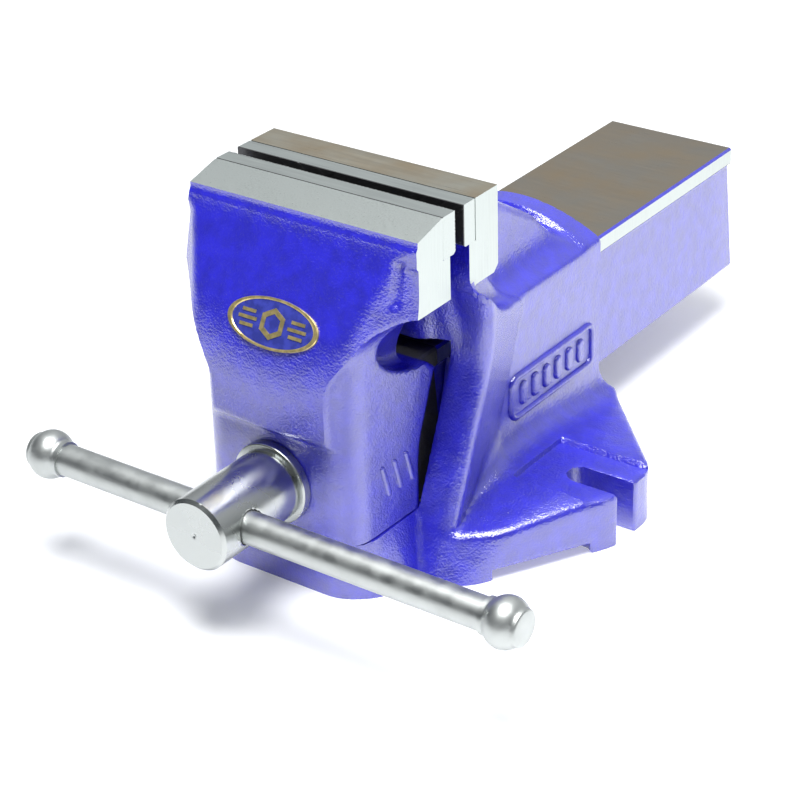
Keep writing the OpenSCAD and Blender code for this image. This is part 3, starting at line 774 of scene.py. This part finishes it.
class VISE_OT_sliding_jaw(bpy.types.Operator):
    """Cast sliding jaw: leaning head, neck and hollow slide"""

    bl_idname = "vise.sliding_jaw"
    bl_label = "Sliding Jaw"

    def execute(self, context):
        body, jaw = in_mm(context.scene.vise.body), in_mm(context.scene.vise.jaw)

        def field(x, y, z):
            return jaw_field(x, y, z, jaw, body)

        vertices, faces = contour(field, JAW_LOW, (JAW_HIGH[0], -44, JAW_HIGH[2]), jaw.step)
        vertices = np.clip(vertices, JAW_LOW, JAW_HIGH)
        kinds = machined(vertices, faces, jaw_planes(body))
        piece = put_mesh("sliding_jaw_shell", vertices, faces, CAST_SHARP, kinds)
        nodes = ["sliding_jaw_casting"]
        finish_piece(piece, "sliding_jaw", "blue_paint", *casting_materials(), replaces=nodes)
        x = jaw.neck_x
        put_marks("neck_mark", lambda *p: mark_field(*p, jaw), (x - 1, -96, 38), (x + 4, -60, 62),
                  "sliding_jaw", False)
        add_slide(jaw)
        return {"FINISHED"}


# ---- steel pieces ---------------------------------------------------------------------------


def plate_field(x, y, z, low, high, way, size):
    """A jaw plate: a slab with crossed cuts on its gripping face and two counterbored holes."""
    centre, half = (low + high) / 2, (high - low) / 2
    slab = np.maximum(np.abs(x - centre[0]) - half[0], np.abs(z - centre[2]) - half[2])
    slab = np.maximum(slab, np.abs(y - centre[1]) - half[1])
    face = low[1] if way > 0 else high[1]
    into = (y - face) * way
    pitch = size.serration * math.sqrt(2)
    rising = np.abs((x + z) % pitch - pitch / 2)
    falling = np.abs((x - z) % pitch - pitch / 2)
    flank, fall, edge, step = 1.1, 0.7, 0.45, 0.9
    cut = size.cut - np.minimum(rising, falling) * flank
    slab = np.maximum(slab, np.maximum(cut, 0) - into)
    back = into - (high[1] - low[1])
    slab = np.maximum(slab, (back + z - high[2]) * fall + edge)
    slab = np.maximum(slab, (back + np.abs(x - centre[0]) - half[0]) * fall + edge)
    slab = np.maximum(slab, (-into + low[2] - z) * fall + step)
    for side in (-1, 1):
        reach = np.hypot(x - side * size.screw_x, z - centre[2])
        head = np.maximum(reach - size.head_r, into - size.head_depth)
        slab = np.maximum(slab, -np.minimum(head, reach - size.hole_r))
    return slab


class VISE_OT_jaw_plates(bpy.types.Operator):
    """Two serrated jaw plates and their socket screws"""

    bl_idname = "vise.jaw_plates"
    bl_label = "Jaw Plates"

    def execute(self, context):
        size = in_mm(context.scene.vise.steel)
        steel = ground_steel("plate_steel", context.scene.vise.finish.ground, 0)
        for node, body, low, high, way in (
            ("fixed_jaw_plate", "body", FIXED_LOW, FIXED_HIGH, 1),
            ("sliding_jaw_plate", "sliding_jaw", SLIDE_LOW, SLIDE_HIGH, -1),
        ):

            def field(x, y, z):
                return plate_field(x, y, z, low, high, way, size)

            vertices, faces = contour(field, low, high, FINE_STEP)
            vertices = np.clip(vertices, low, high)
            grip = low[1] if way > 0 else high[1]
            middle = vertices[faces].mean(1)
            # Faces along the gripping face get dark steel; so does the narrow chamfer along the
            # back's top edge, as painted shade of the thin gap between plate and seat.
            gap_shade = np.abs(middle[:, 1] - grip) > high[1] - low[1] - FINE_STEP
            gap_shade &= middle[:, 2] > high[2] - FINE_STEP
            kinds = ((np.abs(vertices[faces, 1] - grip).max(1) < 0.9) | gap_shade).astype(int)
            piece = put_mesh(node + "_cut", vertices, faces, PLATE_SHARP, kinds)
            finish_piece(piece, body, "jaw_steel", steel, dark_steel(), replaces=[node])
        for node in ("fixed_jaw_plate_screws", "sliding_jaw_plate_screws"):
            coat(node, dark_steel())
        return {"FINISHED"}


def screw_head_field(x, y, z, size):
    """The screw's head and shank: chamfered round bar with a cross hole and a centre mark."""
    reach = np.hypot(x, z - SCREW_Z)
    back = WASHER_LOW[1] - 0.1
    dimple = 0.8 * np.clip(1 - reach / 1.7, 0, 1)
    ring = 0.12 * np.clip(1 - np.abs(reach - 4.2) / 0.6, 0, 1)
    y_face = y - dimple - ring
    front = SCREW_LOW[1]
    head = outline(
        reach,
        y_face,
        [(-1, front), (14.6, front), (SCREW_HIGH[0], front + 1.4), (SCREW_HIGH[0], back - 1),
         (SCREW_HIGH[0] - 1, back), (-1, back)],
    )
    shank = np.maximum(reach - size.shank_r, np.maximum(front + 5 - y, y - COLLAR_HIGH[1] - 2))
    d = np.minimum(head, shank)
    hole = np.hypot(y - BAR_Y, z - SCREW_Z) - BAR_R - 0.4
    return smooth_max(d, -hole, 0.8)


class VISE_OT_main_screw(bpy.types.Operator):
    """Main screw: polished head, plain shank and a square thread"""

    bl_idname = "vise.main_screw"
    bl_label = "Main Screw"

    def execute(self, context):
        size = in_mm(context.scene.vise.steel)
        steel = polished_steel()

        def field(x, y, z):
            return screw_head_field(x, y, z, size)

        low, high = SCREW_LOW, np.array([SCREW_HIGH[0], COLLAR_HIGH[1] + 2, SCREW_HIGH[2]])
        vertices, faces = contour(field, low, high, FINE_STEP)
        piece = put_mesh("screw_head", np.clip(vertices, low, high), faces, STEEL_SHARP)
        finish_piece(piece, "main_screw", "bright_steel", steel, replaces=["main_screw"])

        start, end = COLLAR_HIGH[1] + 2, SCREW_HIGH[1]
        rows = np.arange(start, end - 0.4, 0.4)
        outside = [(p, size.thread_r) for p in rows] + [(end, size.thread_r)]
        profile = [(start, 0.0)] + outside + [(end, 0.0)]

        def thread(angle, place, r):
            phase = (place / size.lead - angle / (2 * math.pi)) % 1
            tooth = np.clip((np.abs(phase - 0.5) - 0.22) / 0.06, 0, 1)
            lead_in = np.clip((end - place) / 3, 0, 1)
            crest = size.thread_r - size.depth * tooth
            return np.where(r > 0, np.minimum(crest, size.thread_r - 3 + 3 * lead_in), 0)

        points, faces = turned(profile, 72, thread)
        piece = put_mesh("screw_thread", along_y(points), faces, STEEL_SHARP, close=True)
        finish_piece(piece, "main_screw", "bright_steel", steel)
        return {"FINISHED"}


def rounded_ring(inner, outer, low, high, r):
    """Closed profile of a flat ring with rounded outer edges, as (place, radius) points."""
    turn = np.linspace(0, math.pi / 2, 5)
    near = [(low + r - r * math.cos(t), outer - r + r * math.sin(t)) for t in turn]
    far = [(high - r + r * math.sin(t), outer - r + r * math.cos(t)) for t in turn]
    return [(low, inner)] + near + far + [(high, inner), (low, inner)]


class VISE_OT_thrust_washer(bpy.types.Operator):
    """Thrust washer between the screw's head and the neck"""

    bl_idname = "vise.thrust_washer"
    bl_label = "Thrust Washer"

    def execute(self, context):
        size = in_mm(context.scene.vise.steel)
        radius, clear = (WASHER_HIGH[0] - WASHER_LOW[0]) / 2, 0.1
        profile = rounded_ring(size.shank_r + clear, radius, WASHER_LOW[1], WASHER_HIGH[1], 0.8)
        steel = polished_steel()
        node = "thrust_washer"
        add_turned("washer_ring", profile, 96, along_y, STEEL_SHARP, "sliding_jaw", steel, node)
        return {"FINISHED"}


def knob_profile(length_mm, radius, neck):
    """A knob from its shoulder to its flat end: neck that swells into a ball, cut off flat.

    The ball's radius at a share t of its length is r sqrt(1 - (2t - 1.08)^2 / 1.35).
    """
    bevel, collar = 0.8, 0.9
    turn = np.linspace(0, 1, 28)
    ball = radius * np.sqrt(np.maximum(1 - (2 * turn - 1.08) ** 2 / 1.35, 0))
    swell = np.maximum(ball, neck + collar)
    place = turn * (length_mm - bevel)
    flat = swell[-1] - collar
    end = [(length_mm - 0.25, swell[-1] - 0.35), (length_mm, flat), (length_mm, flat / 2)]
    return [(0, neck)] + list(zip(place, swell)) + end + [(length_mm, 0)]


class VISE_OT_handle(bpy.types.Operator):
    """Sliding handle bar with a knob at each end"""

    bl_idname = "vise.handle"
    bl_label = "Handle"

    def execute(self, context):
        steel = satin_steel()
        ends = (BAR_LOW[0], BAR_HIGH[0])
        profile = [(ends[0], 0), (ends[0], BAR_R)]
        profile += [(p, BAR_R) for p in np.linspace(ends[0], ends[1], 24)[1:-1]]
        profile += [(ends[1], BAR_R), (ends[1], 0)]
        add_turned("bar", profile, 64, along_x, STEEL_SHARP, "handle", steel, "handle_bar")
        radius = (KNOB_HIGH[1] - KNOB_LOW[1]) / 2
        run = KNOB_HIGH[0] - KNOB_LOW[0]
        for name, node, start, way in (
            ("knob_right", "handle_knob_right", KNOB_LOW[0], 1),
            ("knob_left", "handle_knob_left", LEFT_HIGH[0], -1),
        ):
            profile = [(start + way * p, r) for p, r in knob_profile(run, radius, BAR_R)]
            add_turned(name, profile, 64, along_x, SOFT_SHARP, "handle", steel, node)
        return {"FINISHED"}


class VISE_OT_retainer(bpy.types.Operator):
    """Spring, washer, collar and pin that hold the screw in the neck"""

    bl_idname = "vise.retainer"
    bl_label = "Screw Retainer"

    def execute(self, context):
        steel = dark_steel()
        turns, per_turn, sides, wire = 4, 40, 14, 1.5
        mean = (SPRING_HIGH[0] - SPRING_LOW[0]) / 2 - wire
        t = np.linspace(0, 1, turns * per_turn + 1)[:, None]
        b = np.linspace(0, 2 * math.pi, sides, endpoint=False)[None, :]
        low, high = SPRING_LOW[1] + wire, SPRING_HIGH[1] - wire
        r = mean + wire * np.cos(b)
        angle = 2 * math.pi * turns * t
        place = low + (high - low) * t + wire * np.sin(b)
        points = np.stack([r * np.cos(angle), r * np.sin(angle), place], -1).reshape(-1, 3)
        faces = [list(f) for f in grid_faces(len(t), sides)]
        last = (len(t) - 1) * sides
        faces += [list(range(sides)), list(range(last + sides - 1, last - 1, -1))]
        piece = put_mesh("spring_coil", along_y(points), faces, SOFT_SHARP, close=True)
        finish_piece(piece, "main_screw", "dark_steel", steel, replaces=["retaining_spring"])
        for node in ("spring_washer", "retaining_collar", "collar_pin"):
            coat(node, steel)
        return {"FINISHED"}


class VISE_OT_nut(bpy.types.Operator):
    """Main nut with its bolts, washers and dowel"""

    bl_idname = "vise.nut"
    bl_label = "Main Nut"

    def execute(self, context):
        coat("main_nut", iron_and_root_shade())
        for node in ("nut_bolts", "nut_bolt_washers", "nut_dowel"):
            coat(node, dark_steel())
        return {"FINISHED"}


# ---- badge ----------------------------------------------------------------------------------


class VISE_OT_badge(bpy.types.Operator):
    """Oval badge with a gilt rim, an enamel field and a plain hexagon emblem"""

    bl_idname = "vise.badge"
    bl_label = "Badge"

    def execute(self, context):
        lean = context.scene.vise.jaw.lean
        half_w = (BADGE_HIGH[0] - BADGE_LOW[0]) / 2
        plate = 1.0
        tall = (BADGE_HIGH[2] - BADGE_LOW[2] - plate * math.sin(lean)) / 2 / math.cos(lean)
        across = np.array([1.0, 0, 0])
        up = np.array([0, math.sin(lean), math.cos(lean)])
        out = np.array([0, -math.cos(lean), math.sin(lean)])
        centre = np.array([0, BADGE_HIGH[1] - tall * up[1], BADGE_LOW[2] + tall * up[2]])

        def placed(u, v, w):
            """Points at u across, v up and w out of the badge's back."""
            return centre + u[..., None] * across + v[..., None] * up + w[..., None] * out

        angle = np.linspace(0, 2 * math.pi, 96, endpoint=False)[None, :]
        share = np.array([0, 1.0, 1.0, 0.985, 0.93, 0.905, 0.89, 0.6, 0.3, 0.0])[:, None]
        height = np.array([0, 0, 0.6, 0.95, 0.95, 0.85, 0.55, 0.62, 0.65, 0.66])[:, None]
        points = placed(
            half_w * share * np.cos(angle), tall * share * np.sin(angle), height + 0 * angle
        )
        faces = grid_faces(len(share), 96)
        kinds = np.repeat(np.array([0, 0, 0, 0, 0, 0, 1, 1, 1]), 96)
        points = points.reshape(-1, 3)
        piece = put_mesh("badge_plate", points, faces, SOFT_SHARP, kinds, close=True)
        finish_piece(piece, "sliding_jaw", "badge_enamel", gilt(), enamel(), replaces=["badge"])

        bottom, top, bar_half_h = 0.5, 0.92, 0.7
        turn = np.linspace(0, 2 * math.pi, 6, endpoint=False) + math.pi / 6
        rings = [(6.6, bottom), (6.6, top), (4.2, top), (4.2, bottom)]
        ring = [placed(r * np.cos(turn), r * np.sin(turn), 0 * turn + h) for r, h in rings]
        vertices = [np.concatenate(ring)]
        faces = grid_faces(4, 6, close_rows=True).tolist()
        box = [[3, 2, 1, 0], [4, 5, 6, 7], [0, 1, 5, 4], [1, 2, 6, 5], [2, 3, 7, 6], [3, 0, 4, 7]]
        for x_bar in (-12.5, 12.5):
            for y_bar, half in ((3.0, 3.4), (0, 4.6), (-3.0, 3.4)):
                u = np.array([-half, half, half, -half] * 2) + x_bar
                v = np.array([-bar_half_h, -bar_half_h, bar_half_h, bar_half_h] * 2) + y_bar
                w = np.repeat([bottom, top], 4)
                faces += (np.array(box) + sum(len(part) for part in vertices)).tolist()
                vertices.append(placed(u, v, w))
        vertices = np.concatenate(vertices)
        piece = put_mesh("badge_emblem", vertices, faces, STEEL_SHARP, close=True)
        finish_piece(piece, "sliding_jaw", "badge_enamel", gilt())
        return {"FINISHED"}


# ---- finishes -------------------------------------------------------------------------------


class Nodes:
    """A material's node tree, with short ways to add nodes and links."""

    def __init__(self, name, colour_value, metallic, roughness):
        self.material = bpy.data.materials.new(name)
        self.material.use_nodes = True
        self.tree = self.material.node_tree
        self.shader = self.tree.nodes["Principled BSDF"]
        self.shader.inputs["Base Color"].default_value = (*colour_value, 1)
        self.shader.inputs["Metallic"].default_value = metallic
        self.shader.inputs["Roughness"].default_value = roughness
        self.place = self.tree.nodes.new("ShaderNodeTexCoord").outputs["Object"]

    def add(self, kind, **values):
        """A node whose inputs, or else settings, have these values."""
        node = self.tree.nodes.new(kind)
        for key, value in values.items():
            name = key.replace("_", " ").title()
            if name in node.inputs:
                node.inputs[name].default_value = value
            else:
                setattr(node, key, value)
        return node

    def link(self, a, b):
        """A link from an output to an input."""
        self.tree.links.new(a, b)

    def noise(self, scale, detail=3, stretch=None, roughness=0.5):
        """Noise on object coordinates, stretched along an axis where asked."""
        node = self.add("ShaderNodeTexNoise", scale=scale, detail=detail, roughness=roughness)
        if stretch:
            mapping = self.add("ShaderNodeMapping", scale=stretch)
            self.link(self.place, mapping.inputs["Vector"])
            self.link(mapping.outputs["Vector"], node.inputs["Vector"])
        else:
            self.link(self.place, node.inputs["Vector"])
        return node.outputs["Fac"]

    def ramp(self, value, stops):
        """A colour ramp on a value: stops are (place, colour or grey)."""
        node = self.tree.nodes.new("ShaderNodeValToRGB")
        band = node.color_ramp
        while len(band.elements) < len(stops):
            band.elements.new(0.5)
        for element, (place, shade) in zip(band.elements, stops):
            element.position = place
            element.color = (*shade, 1) if hasattr(shade, "__len__") else (shade, shade, shade, 1)
        self.link(value, node.inputs["Fac"])
        return node.outputs["Color"]

    def bump(self, height, distance, strength=1.0, below=None):
        """A bump of this height, on top of another bump where given."""
        node = self.add("ShaderNodeBump", strength=strength, distance=distance)
        self.link(height, node.inputs["Height"])
        if below:
            self.link(below, node.inputs["Normal"])
        return node.outputs["Normal"]


def once(make):
    """Makes the material of a function's name at the first call and finds it at later ones."""

    def find():
        return bpy.data.materials.get(make.__name__) or make()

    return find


def shades(colour_value, *factors):
    """The same colour, lighter or darker by each factor."""
    return [tuple(min(1, c * f) for c in colour_value) for f in factors]


@once
def cast_paint():
    """Thick gloss enamel over the grain of the casting, mottled, with fine pits."""
    paint = bpy.context.scene.vise.finish.paint
    n = Nodes("cast_paint", paint, 0, 0.4)
    dark, light = shades(paint, 0.82, 1.12)
    n.link(n.ramp(n.noise(140, 4), [(0.35, dark), (0.65, light)]), n.shader.inputs["Base Color"])
    wave = n.bump(n.noise(150, 2), 0.0008, 0.3)
    grain = n.bump(n.noise(1100, 3), 0.0005, 0.6, wave)
    n.link(grain, n.shader.inputs["Normal"])
    n.link(grain, n.shader.inputs["Coat Normal"])
    n.shader.inputs["Coat Weight"].default_value = 1
    n.shader.inputs["Coat IOR"].default_value = 2.2
    n.shader.inputs["Coat Roughness"].default_value = 0.1
    return n.material


def ground_steel(name, colour_value, along, tan=0.0):
    """Ground iron or steel: fine lines along one axis, faint blotches of tan oxide."""
    if bpy.data.materials.get(name):
        return bpy.data.materials[name]
    n = Nodes(name, colour_value, 1, 0.34)
    fine = [1400.0, 1400.0, 1400.0]
    fine[along] = 30.0
    lines = n.noise(1, 3, fine, 0.7)
    blotch = n.noise(45, 4)
    grey, pale = shades(colour_value, 0.86, 1.06)
    brown = tuple(c * (1 - tan) + t * tan for c, t in zip(colour_value, (0.42, 0.30, 0.16)))
    mix = n.add("ShaderNodeMix", data_type="RGBA")
    n.link(n.ramp(blotch, [(0.35, 0.0), (0.75, 1.0)]), mix.inputs["Factor"])
    n.link(n.ramp(lines, [(0.3, grey), (0.7, pale)]), mix.inputs["A"])
    mix.inputs["B"].default_value = (*brown, 1)
    n.link(mix.outputs["Result"], n.shader.inputs["Base Color"])
    n.link(n.ramp(lines, [(0.3, 0.27), (0.7, 0.45)]), n.shader.inputs["Roughness"])
    n.link(n.bump(lines, 0.00006, 0.6), n.shader.inputs["Normal"])
    return n.material


def casting_materials():
    """Paint, ground iron and oxidised ground iron, in the order of the face numbers."""
    ground = bpy.context.scene.vise.finish.ground
    return (
        cast_paint(),
        ground_steel("ground_iron", ground, 2),
        ground_steel("ground_top", (0.52, 0.50, 0.42), 0, 0.75),
        ground_steel("slide_top", (0.36, 0.33, 0.28), 0, 0.6),
    )


@once
def polished_steel():
    """Turned and polished steel: faint rings round the screw's axis."""
    n = Nodes("polished_steel", bpy.context.scene.vise.finish.polished, 1, 0.2)
    rings = n.noise(1, 2, (60.0, 1800.0, 60.0), 0.6)
    smear = n.noise(70, 4)
    n.link(n.ramp(smear, [(0.3, 0.18), (0.75, 0.34)]), n.shader.inputs["Roughness"])
    n.link(n.bump(rings, 0.00003, 0.5), n.shader.inputs["Normal"])
    return n.material


@once
def satin_steel():
    """Bright drawn bar: soft lines along the handle and small scuffs."""
    n = Nodes("satin_steel", bpy.context.scene.vise.finish.polished, 1, 0.3)
    lines = n.noise(1, 3, (40.0, 900.0, 900.0), 0.6)
    scuff = n.noise(150, 5)
    n.link(n.ramp(scuff, [(0.35, 0.36), (0.7, 0.52)]), n.shader.inputs["Roughness"])
    n.link(n.bump(lines, 0.00004, 0.4), n.shader.inputs["Normal"])
    return n.material


@once
def dark_steel():
    """Oiled black steel of the springs, bolts and pins."""
    n = Nodes("dark_steel", bpy.context.scene.vise.finish.dark, 1, 0.4)
    n.link(n.ramp(n.noise(220, 4), [(0.3, 0.3), (0.7, 0.5)]), n.shader.inputs["Roughness"])
    n.link(n.bump(n.noise(600, 2), 0.00005, 0.5), n.shader.inputs["Normal"])
    return n.material


@once
def iron_and_root_shade():
    """Unpainted cast iron of the nut, and the same dark iron on the slide's root as painted shade of
    the gap behind the neck.
    """
    n = Nodes("iron_and_root_shade", (0.12, 0.12, 0.12), 1, 0.6)
    n.link(n.bump(n.noise(420, 4), 0.0003, 0.8), n.shader.inputs["Normal"])
    n.link(n.ramp(n.noise(160, 4), [(0.3, 0.5), (0.7, 0.75)]), n.shader.inputs["Roughness"])
    return n.material


@once
def gilt():
    """Worn gilt of the badge."""
    colour_value = bpy.context.scene.vise.finish.gold
    n = Nodes("gilt", colour_value, 0.85, 0.35)
    pale, deep = shades(colour_value, 1.25, 0.9)
    n.link(n.ramp(n.noise(400, 4), [(0.4, deep), (0.6, pale)]), n.shader.inputs["Base Color"])
    n.link(n.bump(n.noise(900, 2), 0.00004, 0.4), n.shader.inputs["Normal"])
    return n.material


@once
def enamel():
    """Glassy enamel in the badge's field."""
    colour_value = bpy.context.scene.vise.finish.enamel
    n = Nodes("enamel", colour_value, 0, 0.15)
    dark, light = shades(colour_value, 0.8, 1.2)
    n.link(n.ramp(n.noise(300, 3), [(0.4, dark), (0.6, light)]), n.shader.inputs["Base Color"])
    n.shader.inputs["Coat Weight"].default_value = 0.6
    return n.material


def coat(node, material):
    """Gives a frame node that stays in view its material."""
    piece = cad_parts[node]
    piece.data.materials.clear()
    piece.data.materials.append(material)


# ---- stage ----------------------------------------------------------------------------------


def area_light(name, place, target, size, power):
    """A square soft light at a place, facing a target."""
    light = bpy.data.lights.new(name, "AREA")
    light.size = size
    light.energy = power
    lamp = bpy.data.objects.new(name, light)
    bpy.context.scene.collection.objects.link(lamp)
    lamp.location = place
    way = np.array(target) - np.array(place)
    flat = math.hypot(way[0], way[1])
    lamp.rotation_euler = (math.atan2(flat, -way[2]), 0, math.atan2(-way[0], way[1]))


class VISE_OT_stage(bpy.types.Operator):
    """Pale floor with a painted glow, one soft light, the sky and the camera"""

    bl_idname = "vise.stage"
    bl_label = "Stage"

    def execute(self, context):
        camera_data = bpy.data.cameras.new("camera")
        camera_data.lens = CAMERA_LENS
        camera_data.sensor_width = CAMERA_SENSOR
        camera_data.clip_start = CAMERA_NEAR
        camera = bpy.data.objects.new("camera", camera_data)
        context.scene.collection.objects.link(camera)
        camera.location = CAMERA_PLACE
        camera.rotation_euler = [math.radians(angle) for angle in CAMERA_TURN]
        context.scene.camera = camera

        mesh = bpy.data.meshes.new("floor")
        reach = FLOOR_REACH
        square = [(-reach, -reach, 0), (reach, -reach, 0), (reach, reach, 0), (-reach, reach, 0)]
        mesh.from_pydata(square, [], [(0, 1, 2, 3)])
        floor = bpy.data.objects.new("floor", mesh)
        context.scene.collection.objects.link(floor)
        n = Nodes("floor", context.scene.vise.finish.floor, 0, 0.6)
        n.link(n.bump(n.noise(30, 2), 0.0002, 0.2), n.shader.inputs["Normal"])
        # Painted glow: white emission that rises across the floor toward +X and a little toward the
        # rear.
        lit = n.add("ShaderNodeVectorMath", operation="DOT_PRODUCT")
        n.link(n.place, lit.inputs[0])
        lit.inputs[1].default_value = FLOOR_GLOW_WAY
        band = n.add("ShaderNodeMapRange")
        for name, value in FLOOR_GLOW.items():
            band.inputs[name].default_value = value
        n.link(lit.outputs["Value"], band.inputs["Value"])
        n.link(band.outputs["Result"], n.shader.inputs["Emission Strength"])
        n.shader.inputs["Emission Color"].default_value = (1, 1, 1, 1)
        mesh.materials.append(n.material)

        world = bpy.data.worlds.new("studio")
        world.use_nodes = True
        tree = world.node_tree
        place = tree.nodes.new("ShaderNodeTexCoord")
        height = tree.nodes.new("ShaderNodeVectorMath")
        height.operation = "DOT_PRODUCT"
        height.inputs[1].default_value = SKY_WAY
        tree.links.new(place.outputs["Generated"], height.inputs[0])
        band = tree.nodes.new("ShaderNodeValToRGB")
        for element, (stop, shade) in zip(band.color_ramp.elements, (SKY_LOW, SKY_HIGH)):
            element.position = stop
            element.color = shade
        tree.links.new(height.outputs["Value"], band.inputs["Fac"])
        tree.links.new(band.outputs["Color"], tree.nodes["Background"].inputs["Color"])
        context.scene.world = world
        area_light("key", KEY_PLACE, KEY_TARGET, KEY_SIZE, KEY_POWER)
        context.scene.view_settings.view_transform = "Standard"
        return {"FINISHED"}


class VISE_PT_panel(bpy.types.Panel):
    """Lists the pieces of the vise"""

    bl_idname = "VISE_PT_panel"
    bl_label = "Bench Vise"
    bl_space_type = "VIEW_3D"
    bl_region_type = "UI"
    bl_category = "Bench Vise"

    def draw(self, context):
        for operator in OPERATORS:
            self.layout.operator(operator.bl_idname)


OPERATORS = (
    VISE_OT_stage,
    VISE_OT_body_casting,
    VISE_OT_sliding_jaw,
    VISE_OT_jaw_plates,
    VISE_OT_main_screw,
    VISE_OT_thrust_washer,
    VISE_OT_handle,
    VISE_OT_retainer,
    VISE_OT_nut,
    VISE_OT_badge,
)
GROUPS = (BodySizes, JawSizes, SteelSizes, Finishes, ViseSettings)


def register():
    for group in GROUPS:
        bpy.utils.register_class(group)
    for operator in OPERATORS:
        bpy.utils.register_class(operator)
    bpy.utils.register_class(VISE_PT_panel)
    bpy.types.Scene.vise = bpy.props.PointerProperty(type=ViseSettings)


def unregister():
    del bpy.types.Scene.vise
    bpy.utils.unregister_class(VISE_PT_panel)
    for operator in reversed(OPERATORS):
        bpy.utils.unregister_class(operator)
    for group in reversed(GROUPS):
        bpy.utils.unregister_class(group)


def main():
    """Builds every piece in order."""
    register()
    for operator in OPERATORS:
        family, name = operator.bl_idname.split(".")
        getattr(getattr(bpy.ops, family), name)()


if __name__ == "__main__":
    main()
